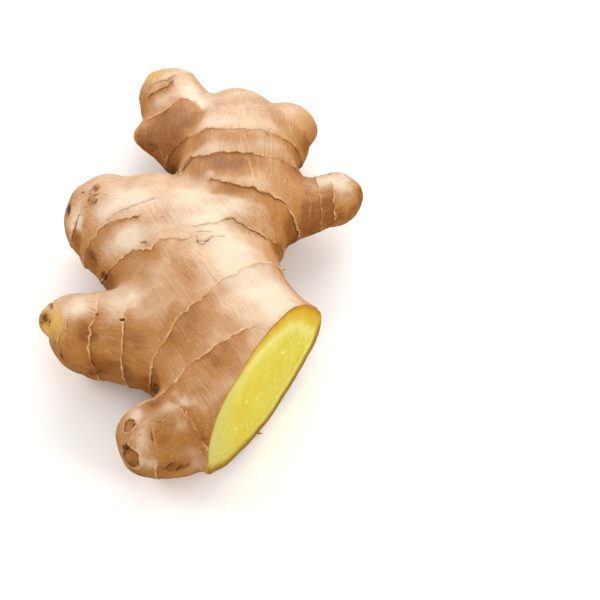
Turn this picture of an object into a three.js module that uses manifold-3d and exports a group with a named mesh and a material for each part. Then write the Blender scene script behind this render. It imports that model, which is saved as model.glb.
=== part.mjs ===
// Branching root of ginger with one knife cut. Millimetres, +Z up, resting on z = 0.
// One grown body: fingers are chains of round sections, blended where they meet,
// trimmed flat by the knife and by the small patches it rests on.
import * as THREE from 'three';
import { mergeVertices } from 'three/addons/utils/BufferGeometryUtils.js';
import Module from 'manifold-3d';

// ---- driving dimensions (mm) ----
const CELL = 3.2;             // grid size of the skin
const BLEND = 2.2;            // softness of the joins between fingers
const STEPS = 3;              // sections drawn between two named ones
const CUT_ANGLE = 30;         // the knife's plane, degrees from +X
const CUT_AT = 34.04;         // distance of the knife's plane along its normal
const BASE = [-1.3499, 15.8502, 0]; // middle of the outline, in the frame the fingers are set out in
const SHORTEST = 0.45;        // no edge of the skin is left shorter than this
const LUMP = 0.45;            // height of the soft unevenness

// each section: x, y, z of its middle and its radius
const FINGERS = {
  head: [[-5.71, 64.43, 14.5, 10.54], [6.76, 58.9, 16.5, 13.85], [20.41, 63.21, 14.5, 9.44]],
  top_left: [[-4.54, 63.86, 14.5, 8.5], [-12.81, 83.07, 13.0, 10.55], [-17.54, 91.39, 12.5, 4.79]],
  side_left: [[-6.16, 64.45, 13.0, 7.68], [-16.85, 68.48, 11.5, 5.2], [-20.8, 70.5, 11.0, 3.8]],
  top_mid: [[7.22, 64.42, 15.0, 13.2], [8.07, 74.87, 14.0, 10.14]],
  top_right: [[17.94, 62.37, 14.0, 8.62], [25.62, 72.53, 12.5, 7.78]],
  trunk: [[8.6, 54.5, 16.8, 16.54], [8.87, 43.24, 18.3, 18.24], [8.26, 21.4, 20.0, 15.9], [6.14, 7.64, 20.5, 14.03], [13.4, -13.88, 20.5, 14.68]],
  right: [[14.27, 31.8, 17.0, 12.81], [25.6, 34.53, 15.0, 9.02], [33.07, 37.51, 14.0, 8.12], [39.04, 41.06, 13.5, 7.94], [44.21, 44.2, 13.0, 2.01]],
  body: [[-14.82, 25.82, 17.0, 15.92], [-6.73, 2.9, 19.5, 16.52], [-1.89, -19.45, 19.5, 18.04], [10.0, -36.66, 19.8, 19.64]],
  left_top: [[-20.06, 24.7, 16.2, 15.16], [-31.11, 31.61, 14.5, 13.11]],
  left_low: [[-30.23, 29.97, 14.5, 11.39], [-24.03, 17.63, 15.5, 13.13], [-12.84, 6.25, 18.0, 13.1]],
  left_mid: [[-13.43, -21.5, 17.5, 13.8], [-26.2, -15.6, 14.6, 13.1], [-33.6, -13.5, 13.3, 12.9], [-38.12, -10.0, 13.5, 9.76], [-44.7, -8.29, 13.5, 5.41]],
  low_left: [[5.48, -42.06, 18.0, 11.41], [-9.9, -52.51, 14.0, 11.75], [-13.58, -52.54, 13.5, 11.58]],
  core: [[-1.25, 15.62, 20.5, 13.67], [4.24, -5.93, 20.8, 16.96], [10.02, -24.83, 20.5, 17.83]],
  cut_end: [[9.14, -49.26, 21.66, 17.04], [20.62, -32.37, 20.83, 19.28], [32.97, -16.98, 14.12, 8.91]],
};

// ---- the skin as a distance field ----
const NX = Math.cos(CUT_ANGLE * Math.PI / 180), NY = -Math.sin(CUT_ANGLE * Math.PI / 180);

function smoothChain(a) {
  if (a.length < 2) return a;
  const ext = [a[0].map((v, i) => 2 * v - a[1][i]), ...a, a[a.length - 1].map((v, i) => 2 * v - a[a.length - 2][i])];
  const out = [];
  for (let k = 0; k < a.length - 1; k++) {
    const [p0, p1, p2, p3] = [ext[k], ext[k + 1], ext[k + 2], ext[k + 3]];
    for (let s = 0; s < STEPS; s++) {
      const t = s / STEPS, t2 = t * t, t3 = t2 * t;
      out.push(p1.map((_, i) => 0.5 * (2 * p1[i] + (p2[i] - p0[i]) * t
        + (2 * p0[i] - 5 * p1[i] + 4 * p2[i] - p3[i]) * t2
        + (3 * p1[i] - p0[i] - 3 * p2[i] + p3[i]) * t3)));
    }
  }
  out.push(a[a.length - 1]);
  return out;
}
const CHAINS = Object.values(FINGERS).map(smoothChain);

function segment(x, y, z, a, b) {
  const bx = b[0] - a[0], by = b[1] - a[1], bz = b[2] - a[2];
  const px = x - a[0], py = y - a[1], pz = z - a[2];
  let t = (px * bx + py * by + pz * bz) / (bx * bx + by * by + bz * bz);
  t = Math.min(1, Math.max(0, t));
  return Math.hypot(px - bx * t, py - by * t, pz - bz * t) - (a[3] + (b[3] - a[3]) * t);
}
function lumps(x, y, z) {
  return LUMP * (Math.sin(x * 0.31 + 1.3 * Math.sin(y * 0.17) + 0.7) * Math.sin(y * 0.27 + 0.9 * Math.sin(z * 0.21 + x * 0.11) + 2.1)
    + 0.6 * Math.sin(x * 0.19 - y * 0.23 + z * 0.37 + 0.4));
}
function skin(x, y, z) {
  const d = CHAINS.map((c) => {
    let m = 1e9;
    for (let i = 0; i + 1 < c.length; i++) m = Math.min(m, segment(x, y, z, c[i], c[i + 1]));
    return m;
  });
  const m = Math.min(...d);
  let s = 0;
  for (const v of d) s += Math.exp(-(v - m) / BLEND);
  return m - BLEND * Math.log(s) + lumps(x, y, z);
}
function slope(p) {
  const h = 0.05;
  return [
    (skin(p[0] + h, p[1], p[2]) - skin(p[0] - h, p[1], p[2])) / (2 * h),
    (skin(p[0], p[1] + h, p[2]) - skin(p[0], p[1] - h, p[2])) / (2 * h),
    (skin(p[0], p[1], p[2] + h) - skin(p[0], p[1], p[2] - h)) / (2 * h),
  ];
}

// ---- closed skin mesh on a grid ----
function skinMesh() {
  const lo = [1e9, 1e9, 1e9], hi = [-1e9, -1e9, -1e9];
  for (const c of CHAINS) for (const s of c) for (let i = 0; i < 3; i++) {
    lo[i] = Math.min(lo[i], s[i] - s[3] - 4); hi[i] = Math.max(hi[i], s[i] + s[3] + 4);
  }
  const n = lo.map((v, i) => Math.ceil((hi[i] - v) / CELL) + 2);
  const at = (i, j, k) => (k * n[1] + j) * n[0] + i;
  const f = new Float64Array(n[0] * n[1] * n[2]);
  for (let k = 0; k < n[2]; k++) for (let j = 0; j < n[1]; j++) for (let i = 0; i < n[0]; i++)
    f[at(i, j, k)] = skin(lo[0] + i * CELL, lo[1] + j * CELL, lo[2] + k * CELL);

  const id = new Int32Array(f.length).fill(-1), pts = [];
  const E = [[0, 0, 0], [1, 0, 0], [0, 1, 0], [1, 1, 0], [0, 0, 1], [1, 0, 1], [0, 1, 1], [1, 1, 1]];
  const PAIRS = [[0, 1], [2, 3], [4, 5], [6, 7], [0, 2], [1, 3], [4, 6], [5, 7], [0, 4], [1, 5], [2, 6], [3, 7]];
  for (let k = 0; k + 1 < n[2]; k++) for (let j = 0; j + 1 < n[1]; j++) for (let i = 0; i + 1 < n[0]; i++) {
    const v = E.map((e) => f[at(i + e[0], j + e[1], k + e[2])]);
    const c = [0, 0, 0]; let m = 0;
    for (const [a, b] of PAIRS) {
      if ((v[a] < 0) === (v[b] < 0)) continue;
      const t = v[a] / (v[a] - v[b]);
      for (let q = 0; q < 3; q++) c[q] += E[a][q] + (E[b][q] - E[a][q]) * t;
      m++;
    }
    if (!m) continue;
    id[at(i, j, k)] = pts.length;
    pts.push([lo[0] + (i + c[0] / m) * CELL, lo[1] + (j + c[1] / m) * CELL, lo[2] + (k + c[2] / m) * CELL]);
  }
  const quads = [];
  const put = (a, b, c, d, flip) => quads.push(flip ? [a, d, c, b] : [a, b, c, d]);
  for (let k = 1; k + 1 < n[2]; k++) for (let j = 1; j + 1 < n[1]; j++) for (let i = 1; i + 1 < n[0]; i++) {
    const o = f[at(i, j, k)] < 0;
    if (o !== (f[at(i + 1, j, k)] < 0)) put(id[at(i, j - 1, k - 1)], id[at(i, j, k - 1)], id[at(i, j, k)], id[at(i, j - 1, k)], !o);
    if (o !== (f[at(i, j + 1, k)] < 0)) put(id[at(i - 1, j, k - 1)], id[at(i - 1, j, k)], id[at(i, j, k)], id[at(i, j, k - 1)], !o);
    if (o !== (f[at(i, j, k + 1)] < 0)) put(id[at(i - 1, j - 1, k)], id[at(i, j - 1, k)], id[at(i, j, k)], id[at(i - 1, j, k)], !o);
  }
  return { pts, quads };
}

// even the spacing, keep every point on the skin
function relax({ pts, quads }, rounds) {
  const near = pts.map(() => new Set());
  for (const q of quads) for (let i = 0; i < 4; i++) {
    near[q[i]].add(q[(i + 1) % 4]); near[q[i]].add(q[(i + 3) % 4]);
  }
  const onto = (p) => {
    for (let s = 0; s < 3; s++) {
      const g = slope(p), v = skin(...p), w = v / (g[0] ** 2 + g[1] ** 2 + g[2] ** 2);
      for (let i = 0; i < 3; i++) p[i] -= g[i] * w;
    }
  };
  for (let r = 0; r < rounds; r++) {
    const next = pts.map((p, i) => {
      const m = [0, 0, 0];
      for (const j of near[i]) for (let q = 0; q < 3; q++) m[q] += pts[j][q] / near[i].size;
      return p.map((v, q) => v + (m[q] - v) * 0.5);
    });
    next.forEach((p, i) => { pts[i] = p; onto(p); });
  }
}

// a point within a quarter of a grid step of a trimming plane is moved along the skin onto it
function settle(pts, normal, offset) {
  for (const p of pts) {
    for (let s = 0; s < 4; s++) {
      const g = slope(p), l = Math.hypot(...g), u = g.map((v) => v / l);
      const d = p[0] * normal[0] + p[1] * normal[1] + p[2] * normal[2] - offset;
      const c = u[0] * normal[0] + u[1] * normal[1] + u[2] * normal[2];
      const sin2 = 1 - c * c;
      if (s === 0 && (sin2 < 1e-4 || Math.abs(d) / Math.sqrt(sin2) > CELL * 0.34)) break;
      const t = normal.map((v, i) => v - u[i] * c);
      for (let i = 0; i < 3; i++) p[i] -= t[i] * d / sin2;
      const e = skin(...p) / l;
      if (s < 3) for (let i = 0; i < 3; i++) p[i] -= u[i] * e;
    }
    const d = p[0] * normal[0] + p[1] * normal[1] + p[2] * normal[2] - offset;
    if (Math.abs(d) < 1e-3) for (let i = 0; i < 3; i++) p[i] -= normal[i] * d;
  }
}

// short edges are closed up; a point on a trimming plane stays on it
function tidy(pts, tris, planes, shortest) {
  const on = pts.map((p) => planes.map(([n, o]) => Math.abs(p[0] * n[0] + p[1] * n[1] + p[2] * n[2] - o) < 2e-4));
  const normal = (t, swap, to) => {
    const [a, b, c] = t.map((v) => pts[v === swap ? to : v]);
    const u = b.map((v, i) => v - a[i]), w = c.map((v, i) => v - a[i]);
    return [u[1] * w[2] - u[2] * w[1], u[2] * w[0] - u[0] * w[2], u[0] * w[1] - u[1] * w[0]];
  };
  for (let round = 0; round < 80; round++) {
    const fan = pts.map(() => []);
    tris.forEach((t, i) => t.forEach((v) => fan[v].push(i)));
    const used = new Set(); let done = 0;
    const edges = [];
    for (const t of tris) for (let i = 0; i < 3; i++) {
      const a = t[i], b = t[(i + 1) % 3];
      if (a < b) {
        const l = Math.hypot(pts[a][0] - pts[b][0], pts[a][1] - pts[b][1], pts[a][2] - pts[b][2]);
        if (l < shortest) edges.push([l, a, b]);
      }
    }
    edges.sort((x, y) => x[0] - y[0]);
    for (const [, a, b] of edges) {
      for (const [keep, drop] of [[a, b], [b, a]]) {
        if (on[drop].some((v, i) => v && !on[keep][i])) continue;
        const ring = (v) => new Set(fan[v].flatMap((i) => tris[i]).filter((w) => w !== v));
        const ra = ring(keep), rb = ring(drop);
        const touched = [...ra, ...rb, keep, drop];
        if (touched.some((v) => used.has(v))) continue;
        if ([...ra].filter((v) => rb.has(v)).length !== 2) continue;
        const moved = fan[drop].filter((i) => !tris[i].includes(keep));
        const turns = moved.some((i) => {
          const n0 = normal(tris[i], -1, -1), n1 = normal(tris[i], drop, keep);
          const l0 = Math.hypot(...n0), l1 = Math.hypot(...n1);
          return l0 > 0.01 && (l1 < 1e-3 || (n0[0] * n1[0] + n0[1] * n1[1] + n0[2] * n1[2]) / (l0 * l1) < 0.6);
        });
        if (turns) continue;
        for (const i of moved) tris[i] = tris[i].map((v) => (v === drop ? keep : v));
        for (const i of fan[drop]) if (!moved.includes(i)) tris[i] = null;
        touched.forEach((v) => used.add(v));
        done++;
        break;
      }
    }
    tris = tris.filter((t) => t);
    if (!done) break;
  }
  return tris;
}

// ---- solid, then the two trims ----
const wasm = await Module();
wasm.setup();
function solid(positions, index) {
  return new wasm.Manifold(new wasm.Mesh({ numProp: 3, vertProperties: new Float32Array(positions), triVerts: new Uint32Array(index) }));
}
function block(sx, sy, sz, place) {
  let g = new THREE.BoxGeometry(sx, sy, sz);
  g.deleteAttribute('normal'); g.deleteAttribute('uv');
  g = mergeVertices(g, 1e-4);
  place(g);
  return solid(g.attributes.position.array, g.index.array);
}

const skinned = skinMesh();
relax(skinned, 4);
settle(skinned.pts, [NX, NY, 0], CUT_AT);
settle(skinned.pts, [0, 0, 1], 0);
const tris = [];
const gap = (a, b) => Math.hypot(a[0] - b[0], a[1] - b[1], a[2] - b[2]);
for (const [a, b, c, d] of skinned.quads) {
  const P = skinned.pts;
  if (gap(P[a], P[c]) <= gap(P[b], P[d])) tris.push(a, b, c, a, c, d);
  else tris.push(a, b, d, b, c, d);
}
const root = solid(skinned.pts.flat(), tris);
const knife = block(80, 300, 200, (g) => {
  g.translate(40, 0, 0);
  g.rotateZ(-CUT_ANGLE * Math.PI / 180);
  g.translate(NX * CUT_AT, NY * CUT_AT, 0);
});
const table = block(400, 400, 40, (g) => g.translate(0, 0, -20));
const trimmed = root.subtract(knife).subtract(table);

const mesh = trimmed.getMesh();
const ends = [];
for (let i = 0; i < mesh.numVert; i++) ends.push([0, 1, 2].map((q) => mesh.vertProperties[i * mesh.numProp + q]));
const faces = [];
for (let i = 0; i < mesh.triVerts.length; i += 3) faces.push([...mesh.triVerts.slice(i, i + 3)]);
const kept = tidy(ends, faces, [[[NX, NY, 0], CUT_AT], [[0, 0, 1], 0]], SHORTEST);
const number = new Map(), pos = [];
for (const t of kept) for (const v of t) if (!number.has(v)) { number.set(v, pos.length / 3); pos.push(...ends[v].map((c, q) => c - BASE[q])); }
const geometry = new THREE.BufferGeometry();
geometry.setAttribute('position', new THREE.BufferAttribute(new Float32Array(pos), 3));
geometry.setIndex(kept.flat().map((v) => number.get(v)));
geometry.computeVertexNormals();

const rhizome = new THREE.Mesh(geometry, new THREE.MeshStandardMaterial({ color: 0xcda27c, roughness: 0.62, metalness: 0 }));
rhizome.name = 'ginger_rhizome';

const group = new THREE.Group();
group.name = 'ginger_root';
group.add(rhizome);
export default group;
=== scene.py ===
import math
import bpy
import numpy as np
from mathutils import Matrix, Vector
from mathutils.geometry import delaunay_2d_cdt


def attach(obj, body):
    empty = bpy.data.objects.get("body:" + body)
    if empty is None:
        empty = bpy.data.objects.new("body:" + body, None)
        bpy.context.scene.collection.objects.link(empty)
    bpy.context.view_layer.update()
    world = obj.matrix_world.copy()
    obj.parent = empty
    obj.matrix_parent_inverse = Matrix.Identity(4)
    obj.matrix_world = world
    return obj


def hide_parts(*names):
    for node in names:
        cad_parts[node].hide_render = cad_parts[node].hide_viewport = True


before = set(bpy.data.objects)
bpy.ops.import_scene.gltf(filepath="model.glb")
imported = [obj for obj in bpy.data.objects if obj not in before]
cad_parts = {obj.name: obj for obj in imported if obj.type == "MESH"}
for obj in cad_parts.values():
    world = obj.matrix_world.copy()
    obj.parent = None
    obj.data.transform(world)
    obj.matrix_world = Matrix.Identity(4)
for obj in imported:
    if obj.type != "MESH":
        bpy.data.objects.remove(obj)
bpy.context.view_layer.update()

# Branching root of ginger with one knife cut. The shape is worked out in millimetres in the
# frame the fingers are set out in, then moved by BASE and scaled to metres.
BASE = np.array([-1.3499, 15.8502, 0.0])
BLEND = 2.2
LUMP = 0.45
STEPS = 3
CUT_ANGLE = math.radians(30)
CUT_AT = 34.04
NRM = np.array([math.cos(CUT_ANGLE), -math.sin(CUT_ANGLE), 0.0])
TAN = np.array([math.sin(CUT_ANGLE), math.cos(CUT_ANGLE), 0.0])
CELL = 2.0
FINE = 0.39      # longest edge by a ring or a scar
PLAIN = 1.15     # on plain skin
UNDER = 1.9                         # on the underside

# each section: x, y, z of its middle and its radius
FINGERS = {
    "head": [[-5.71, 64.43, 14.5, 10.54], [6.76, 58.9, 16.5, 13.85], [20.41, 63.21, 14.5, 9.44]],
    "top_left": [[-4.54, 63.86, 14.5, 8.5], [-12.81, 83.07, 13.0, 10.55], [-17.54, 91.39, 12.5, 4.79]],
    "side_left": [[-6.16, 64.45, 13.0, 7.68], [-16.85, 68.48, 11.5, 5.2], [-20.8, 70.5, 11.0, 3.8]],
    "top_mid": [[7.22, 64.42, 15.0, 13.2], [8.07, 74.87, 14.0, 10.14]],
    "top_right": [[17.94, 62.37, 14.0, 8.62], [25.62, 72.53, 12.5, 7.78]],
    "trunk": [[8.6, 54.5, 16.8, 16.54], [8.87, 43.24, 18.3, 18.24], [8.26, 21.4, 20.0, 15.9], [6.14, 7.64, 20.5, 14.03], [13.4, -13.88, 20.5, 14.68]],
    "right": [[14.27, 31.8, 17.0, 12.81], [25.6, 34.53, 15.0, 9.02], [33.07, 37.51, 14.0, 8.12], [39.04, 41.06, 13.5, 7.94], [44.21, 44.2, 13.0, 2.01]],
    "body": [[-14.82, 25.82, 17.0, 15.92], [-6.73, 2.9, 19.5, 16.52], [-1.89, -19.45, 19.5, 18.04], [10.0, -36.66, 19.8, 19.64]],
    "left_top": [[-20.06, 24.7, 16.2, 15.16], [-31.11, 31.61, 14.5, 13.11]],
    "left_low": [[-30.23, 29.97, 14.5, 11.39], [-24.03, 17.63, 15.5, 13.13], [-12.84, 6.25, 18.0, 13.1]],
    "left_mid": [[-13.43, -21.5, 17.5, 13.8], [-26.2, -15.6, 14.6, 13.1], [-33.6, -13.5, 13.3, 12.9], [-38.12, -10.0, 13.5, 9.76], [-44.7, -8.29, 13.5, 5.41]],
    "low_left": [[5.48, -42.06, 18.0, 11.41], [-9.9, -52.51, 14.0, 11.75], [-13.58, -52.54, 13.5, 11.58]],
    "core": [[-1.25, 15.62, 20.5, 13.67], [4.24, -5.93, 20.8, 16.96], [10.02, -24.83, 20.5, 17.83]],
    "cut_end": [[9.14, -49.26, 21.66, 17.04], [20.62, -32.37, 20.83, 19.28], [32.97, -16.98, 14.12, 8.91]],
}
NAMES = list(FINGERS)
# name, fingers it runs on, centre, normal towards the lower side, direction along it,
# (ridge, step, dark line partly painted shadow, brown below partly painted shade, brown length), how far it goes round,
# [angle, offset] along it
RINGS = [
    ("head_a", ["head", "top_mid", "top_right", "trunk", "side_left", "top_left"], [7.02, 57.24, 12.98], [-0.027, -0.962, -0.271], [1.0, -0.022, -0.019], [0.12, 0.24, 0.4, 0.8, 3.2], "full", [[9.4, -0.23], [19.2, -0.85], [30.4, -1.68], [47.3, 0.35], [56.3, 0.55], [64.5, 1.41], [68.2, 0.23], [75.9, 1.0], [84.6, 0.85], [98.4, 0.26], [110.9, -1.03], [116.5, -0.49], [121.4, 0.43], [138.8, -1.69], [149.2, -0.93], [159.1, 0.52], [173.3, 1.31]]),
    ("head_b", ["head", "top_mid", "top_right", "trunk", "side_left", "top_left"], [8.77, 43.43, 19.22], [0.004, -0.981, -0.193], [1.0, 0.004, 0.003], [0.12, 0.25, 0.45, 1.0, 5], "full", [[11.8, -0.99], [28.1, 0.05], [41.4, -0.31], [51.9, -0.13], [64.3, 0.76], [75.0, 0.85], [84.0, 0.85], [96.7, 0.61], [112.4, 0.17], [120.7, 0.07], [135.4, -1.67], [146.4, -2.33], [153.1, -1.46], [154.8, 3.56], [160.1, -0.02]]),
    ("head_c", ["head", "trunk", "right", "top_right"], [8.8, 27.83, 19.82], [-0.17, -0.984, -0.051], [0.978, -0.161, -0.135], [0.15, 0.34, 0.75, 0.9, 5], "right", [[1.2, 0.45], [14.8, 0.15], [26.9, -0.35], [35.8, -1.0], [44.2, -1.12], [52.6, 0.31], [61.1, 0.02], [70.1, 1.2], [77.2, 0.31], [84.6, 0.73], [93.0, 0.86], [101.6, 0.59], [110.2, 0.47], [117.8, -0.75], [124.4, -1.87]]),
    ("tl_a", ["top_left", "head"], [-8.64, 73.57, 13.8], [0.151, -0.983, -0.102], [0.983, 0.139, 0.117], [0.2, 0.24, 0.2, 1.0, 12], "left", [[71.4, 2.16], [79.3, -0.5], [88.8, -1.36], [100.4, -0.53], [115.7, 0.47], [133.1, 0.28], [147.6, 0.14], [160.7, -0.66]]),
    ("tl_b", ["top_left"], [-15.02, 87.76, 13.71], [0.341, -0.889, -0.306], [0.932, 0.278, 0.233], [0.07, 0.2, 0.3, 0.4, 2.5], "full", [[52.6, -0.57], [69.2, 0.45], [82.8, 0.71], [97.5, 0.53], [115.3, 0.15], [150.7, -1.27]]),
    ("tl_c", ["top_left"], [-12.23, 81.71, 13.11], [0.421, -0.905, 0.062], [0.841, 0.415, 0.348], [0.06, 0.25, 0.6, 0.9, 2.4], "part", [[73.8, -0.79], [82.9, 0.48], [92.7, 0.56], [103.4, 0.15], [110.9, -0.31], [119.1, -0.09]]),
    ("tl_d", ["top_left"], [-11.83, 80.74, 13.19], [0.501, -0.865, -0.018], [0.803, 0.457, 0.383], [0.1, 0.12, 0.4, 0.2, 2], "part", [[17.5, -0.88], [34.6, 0.64], [43.2, 0.69], [50.1, -0.45]]),
    ("top_a", ["top_mid", "head"], [7.06, 68.7, 16.73], [0.034, -0.927, -0.374], [0.999, 0.027, 0.023], [0.05, 0.14, 0.12, 0.2, 3], "part", [[40.3, -1.91], [59.1, 0.66], [82.4, 1.42], [100.3, 1.09], [115.5, -0.34], [124.5, 0.02], [134.5, -0.95]]),
    ("tr_a", ["top_right"], [21.92, 67.72, 13.37], [-0.555, -0.83, -0.059], [0.772, -0.487, -0.409], [0.04, 0.15, 0.2, 0.5, 4], "part", [[40.8, -0.84], [56.1, 0.08], [69.0, 0.65], [81.4, 0.47], [92.7, -0.36]]),
    ("tr_b", ["top_right"], [26.94, 73.88, 12.17], [-0.689, -0.705, 0.17], [0.53, -0.649, -0.545], [0.03, 0.1, 0.2, 0.1, 2], "part", [[66.3, 0.23], [83.8, 0.15], [101.0, -0.05], [120.5, -0.33]]),
    ("sl_a", ["side_left"], [-17.71, 68.88, 11.36], [0.919, -0.193, 0.345], [-0.08, 0.764, 0.641], [0.02, 0.2, 0.25, 0.7, 4], "part", [[53.8, -0.43], [79.8, -0.7], [104.1, 0.06], [123.9, 1.07]]),
    ("sl_b", ["side_left", "head"], [-13.4, 67.11, 11.92], [0.92, -0.107, 0.376], [-0.171, 0.755, 0.633], [0.02, 0.2, 0.25, 0.7, 5], "part", [[54.3, 0.38], [71.2, -0.67], [94.4, -0.94], [114.5, 0.26], [137.3, 0.97]]),
    ("trunk_a", ["trunk", "core", "body", "right"], [6.7, 12.94, 20.58], [0.012, -0.99, -0.139], [1.0, 0.011, 0.009], [0.1, 0.28, 0.8, 0.22, 4], "right", [[-9.6, -2.14], [11.1, 0.14], [27.1, 1.24], [38.2, 1.65], [47.8, 1.0], [56.1, 0.67], [63.9, 0.54], [71.6, -0.51], [80.1, -1.28], [84.7, -2.26], [90.3, -1.93], [97.6, -1.12], [100.5, 0.17], [107.7, 0.64], [113.5, 1.19], [118.7, 2.0]]),
    ("trunk_b", ["trunk", "core", "body"], [6.7, 5.89, 20.5], [0.382, -0.924, -0.005], [0.881, 0.362, 0.304], [0.04, 0.16, 0.6, 0.1, 2], "part", [[80.5, 0.14], [84.7, -0.54], [89.5, -0.5], [93.6, 0.67], [97.1, 0.55], [99.7, -0.32]]),
    ("long_a", ["trunk", "core", "body", "cut_end", "left_mid", "left_low"], [10.94, -11.27, 20.26], [0.684, -0.726, 0.066], [0.601, 0.613, 0.514], [0.24, 0.18, 0.2, 0.55, 7], "full", [[-13.2, -1.27], [6.9, 0.28], [21.5, 0.65], [31.9, 0.15], [39.9, -0.33], [45.3, 0.17], [49.0, -0.35], [56.5, -0.4], [61.6, 0.52], [68.3, 0.04], [73.1, -0.26], [78.2, -0.36], [85.9, -0.11], [91.7, -0.0], [98.9, 0.54], [102.6, -0.07], [106.2, -0.25], [108.9, 0.01], [111.2, -0.68], [115.0, -0.45], [119.6, 0.26], [123.9, 0.6], [127.3, 0.67], [130.8, -0.07], [135.0, -0.1], [140.1, 0.15], [146.1, 0.32], [151.9, 0.36]]),
    ("long_b", ["body", "core", "cut_end", "trunk", "low_left"], [8.06, -33.63, 19.96], [0.485, -0.864, -0.135], [0.839, 0.417, 0.35], [0.28, 0.15, 0.12, 0.6, 8], "part", [[56.6, 0.02], [61.8, -0.4], [68.3, -0.13], [76.7, 0.2], [83.7, 0.11], [89.6, 0.51], [94.6, 0.63], [102.7, 0.41], [109.7, -0.67], [113.7, -0.3], [119.6, -0.2], [126.3, 0.38], [136.0, -0.04], [144.1, -0.21], [148.9, -0.32]]),
    ("fold_a", ["body", "core", "left_mid", "left_low"], [-2.54, -19.25, 19.25], [0.804, -0.558, 0.207], [0.343, 0.72, 0.604], [-0.12, 0.0, 0.1, 0.5, 3], "part", [[68.9, -0.95], [79.0, -0.13], [88.1, 0.47], [97.3, 0.24], [104.3, 0.38]]),
    ("knob_a", ["low_left", "body", "cut_end", "core"], [-7.31, -50.85, 14.95], [0.801, 0.594, 0.076], [-0.533, 0.648, 0.544], [0.06, 0.12, 0.28, 0.35, 4], "part", [[25.1, -0.87], [50.1, 0.48], [67.8, 0.45], [80.0, 0.32], [87.6, 0.18], [95.8, -0.0], [103.2, -0.35], [111.5, -0.19], [119.0, -0.03]]),
    ("lt_a", ["left_top", "left_low"], [-32.52, 32.96, 14.73], [0.718, -0.687, -0.114], [0.641, 0.588, 0.493], [0.14, 0.26, 0.6, 0.45, 5], "left", [[83.2, 1.51], [87.4, 0.6], [92.9, -0.15], [101.8, -0.9], [113.7, -0.87], [123.2, -0.38], [132.9, 0.05], [144.2, 0.13]]),
    ("lt_b", ["left_top", "left_low", "body"], [-21.64, 25.2, 15.62], [0.482, -0.827, -0.289], [0.862, 0.389, 0.326], [0.15, 0.28, 0.4, 0.4, 6], "left", [[82.8, 2.67], [89.4, 1.23], [97.1, -0.04], [106.5, -1.31], [115.4, -1.36], [123.9, -1.0], [127.7, -0.06], [135.0, -0.62], [143.0, 0.49]]),
    ("lt_c", ["left_top", "left_low", "body"], [-19.63, 23.75, 16.12], [0.411, -0.908, -0.08], [0.876, 0.369, 0.31], [0.03, 0.14, 0.45, 0.15, 2], "part", [[62.8, 0.84], [66.5, 0.54], [76.8, 0.36], [87.8, 0.22], [98.9, -0.59], [107.4, -0.89], [114.3, -0.48]]),
    ("lt_d", ["left_top", "left_low", "body"], [-15.94, 14.97, 11.44], [0.355, -0.84, -0.411], [0.931, 0.279, 0.234], [0.22, 0.3, 0.5, 0.5, 7], "left", [[67.4, 2.63], [70.6, 0.97], [74.7, -0.08], [79.1, -0.39], [82.5, 0.33], [86.0, 1.06], [90.1, 0.28], [95.9, -1.2], [102.4, -1.23], [109.5, -1.19], [119.2, -0.76], [132.5, -0.52], [142.3, -0.31], [149.2, 0.41]]),
    ("lm_a", ["left_mid"], [-29.82, -14.58, 13.96], [0.955, -0.232, 0.187], [0.06, 0.765, 0.642], [0.17, 0.08, 0.32, 0.4, 5], "full", [[31.0, -0.77], [47.6, 0.21], [58.4, 0.86], [68.7, 0.41], [78.5, -0.18], [87.9, -0.26], [98.4, -0.25], [109.0, -0.4], [118.4, -0.24], [127.3, 0.08], [137.3, 0.54]]),
    ("lm_b", ["left_mid", "left_low", "body"], [-20.54, -18.63, 15.98], [0.96, -0.224, 0.168], [0.066, 0.764, 0.641], [0.2, 0.16, 0.4, 0.55, 4], "left", [[47.5, -0.67], [59.3, -0.57], [67.1, 0.11], [77.3, 0.34], [89.9, 0.52], [99.8, 0.64], [112.8, 0.25], [127.8, -0.07], [144.9, -0.55]]),
    ("lm_c", ["left_mid"], [-37.85, -10.55, 13.39], [0.895, -0.445, 0.028], [0.34, 0.721, 0.605], [0.04, 0.2, 0.45, 0.5, 3], "part", [[63.6, -1.17], [82.6, 0.43], [96.0, 1.09], [107.9, -0.02], [120.6, -0.79], [132.0, 0.16], [149.0, 0.31]]),
    ("lm_d", ["left_mid"], [-45.96, -8.14, 13.45], [-0.992, 0.12, -0.042], [-0.065, -0.764, -0.641], [0.1, 0.22, 0.9, 0.6, 2], "full", [[48.7, -0.12], [67.1, -0.13], [91.1, -0.14], [117.8, 0.03], [153.6, 0.36]]),
    ("right_a", ["right"], [32.7, 37.28, 14.05], [-0.967, -0.22, 0.126], [0.09, -0.763, -0.64], [0.15, 0.12, 0.3, 0.75, 5], "full", [[17.3, -0.18], [46.3, 0.17], [69.9, 0.09], [90.4, 0.26], [113.3, 0.15], [138.0, -0.08], [162.7, -0.42]]),
    ("right_b", ["right"], [37.3, 39.59, 13.66], [-0.977, -0.201, 0.073], [0.109, -0.761, -0.639], [0.14, 0.12, 0.2, 0.7, 3.5], "full", [[6.3, -0.23], [43.6, 0.15], [68.9, 0.5], [91.2, 0.42], [113.7, 0.11], [135.4, -0.2], [171.4, -0.76]]),
    ("right_c", ["right", "trunk"], [27.71, 35.45, 14.79], [-0.938, -0.225, 0.263], [0.003, -0.766, -0.643], [0.02, 0.1, 0.15, 0.3, 4], "part", [[55.5, 0.65], [76.9, 0.02], [96.9, -0.43], [118.7, -0.15], [140.6, -0.18], [157.3, 0.1]]),
    ("low_a", ["low_left"], [-12.69, -52.55, 13.58], [0.999, -0.024, 0.028], [0.001, 0.766, 0.643], [0.15, 0.2, 0.6, 0.4, 3], "part", [[121.5, 0.5], [131.4, -0.17], [148.3, -0.41], [168.1, 0.09]]),
]
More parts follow.
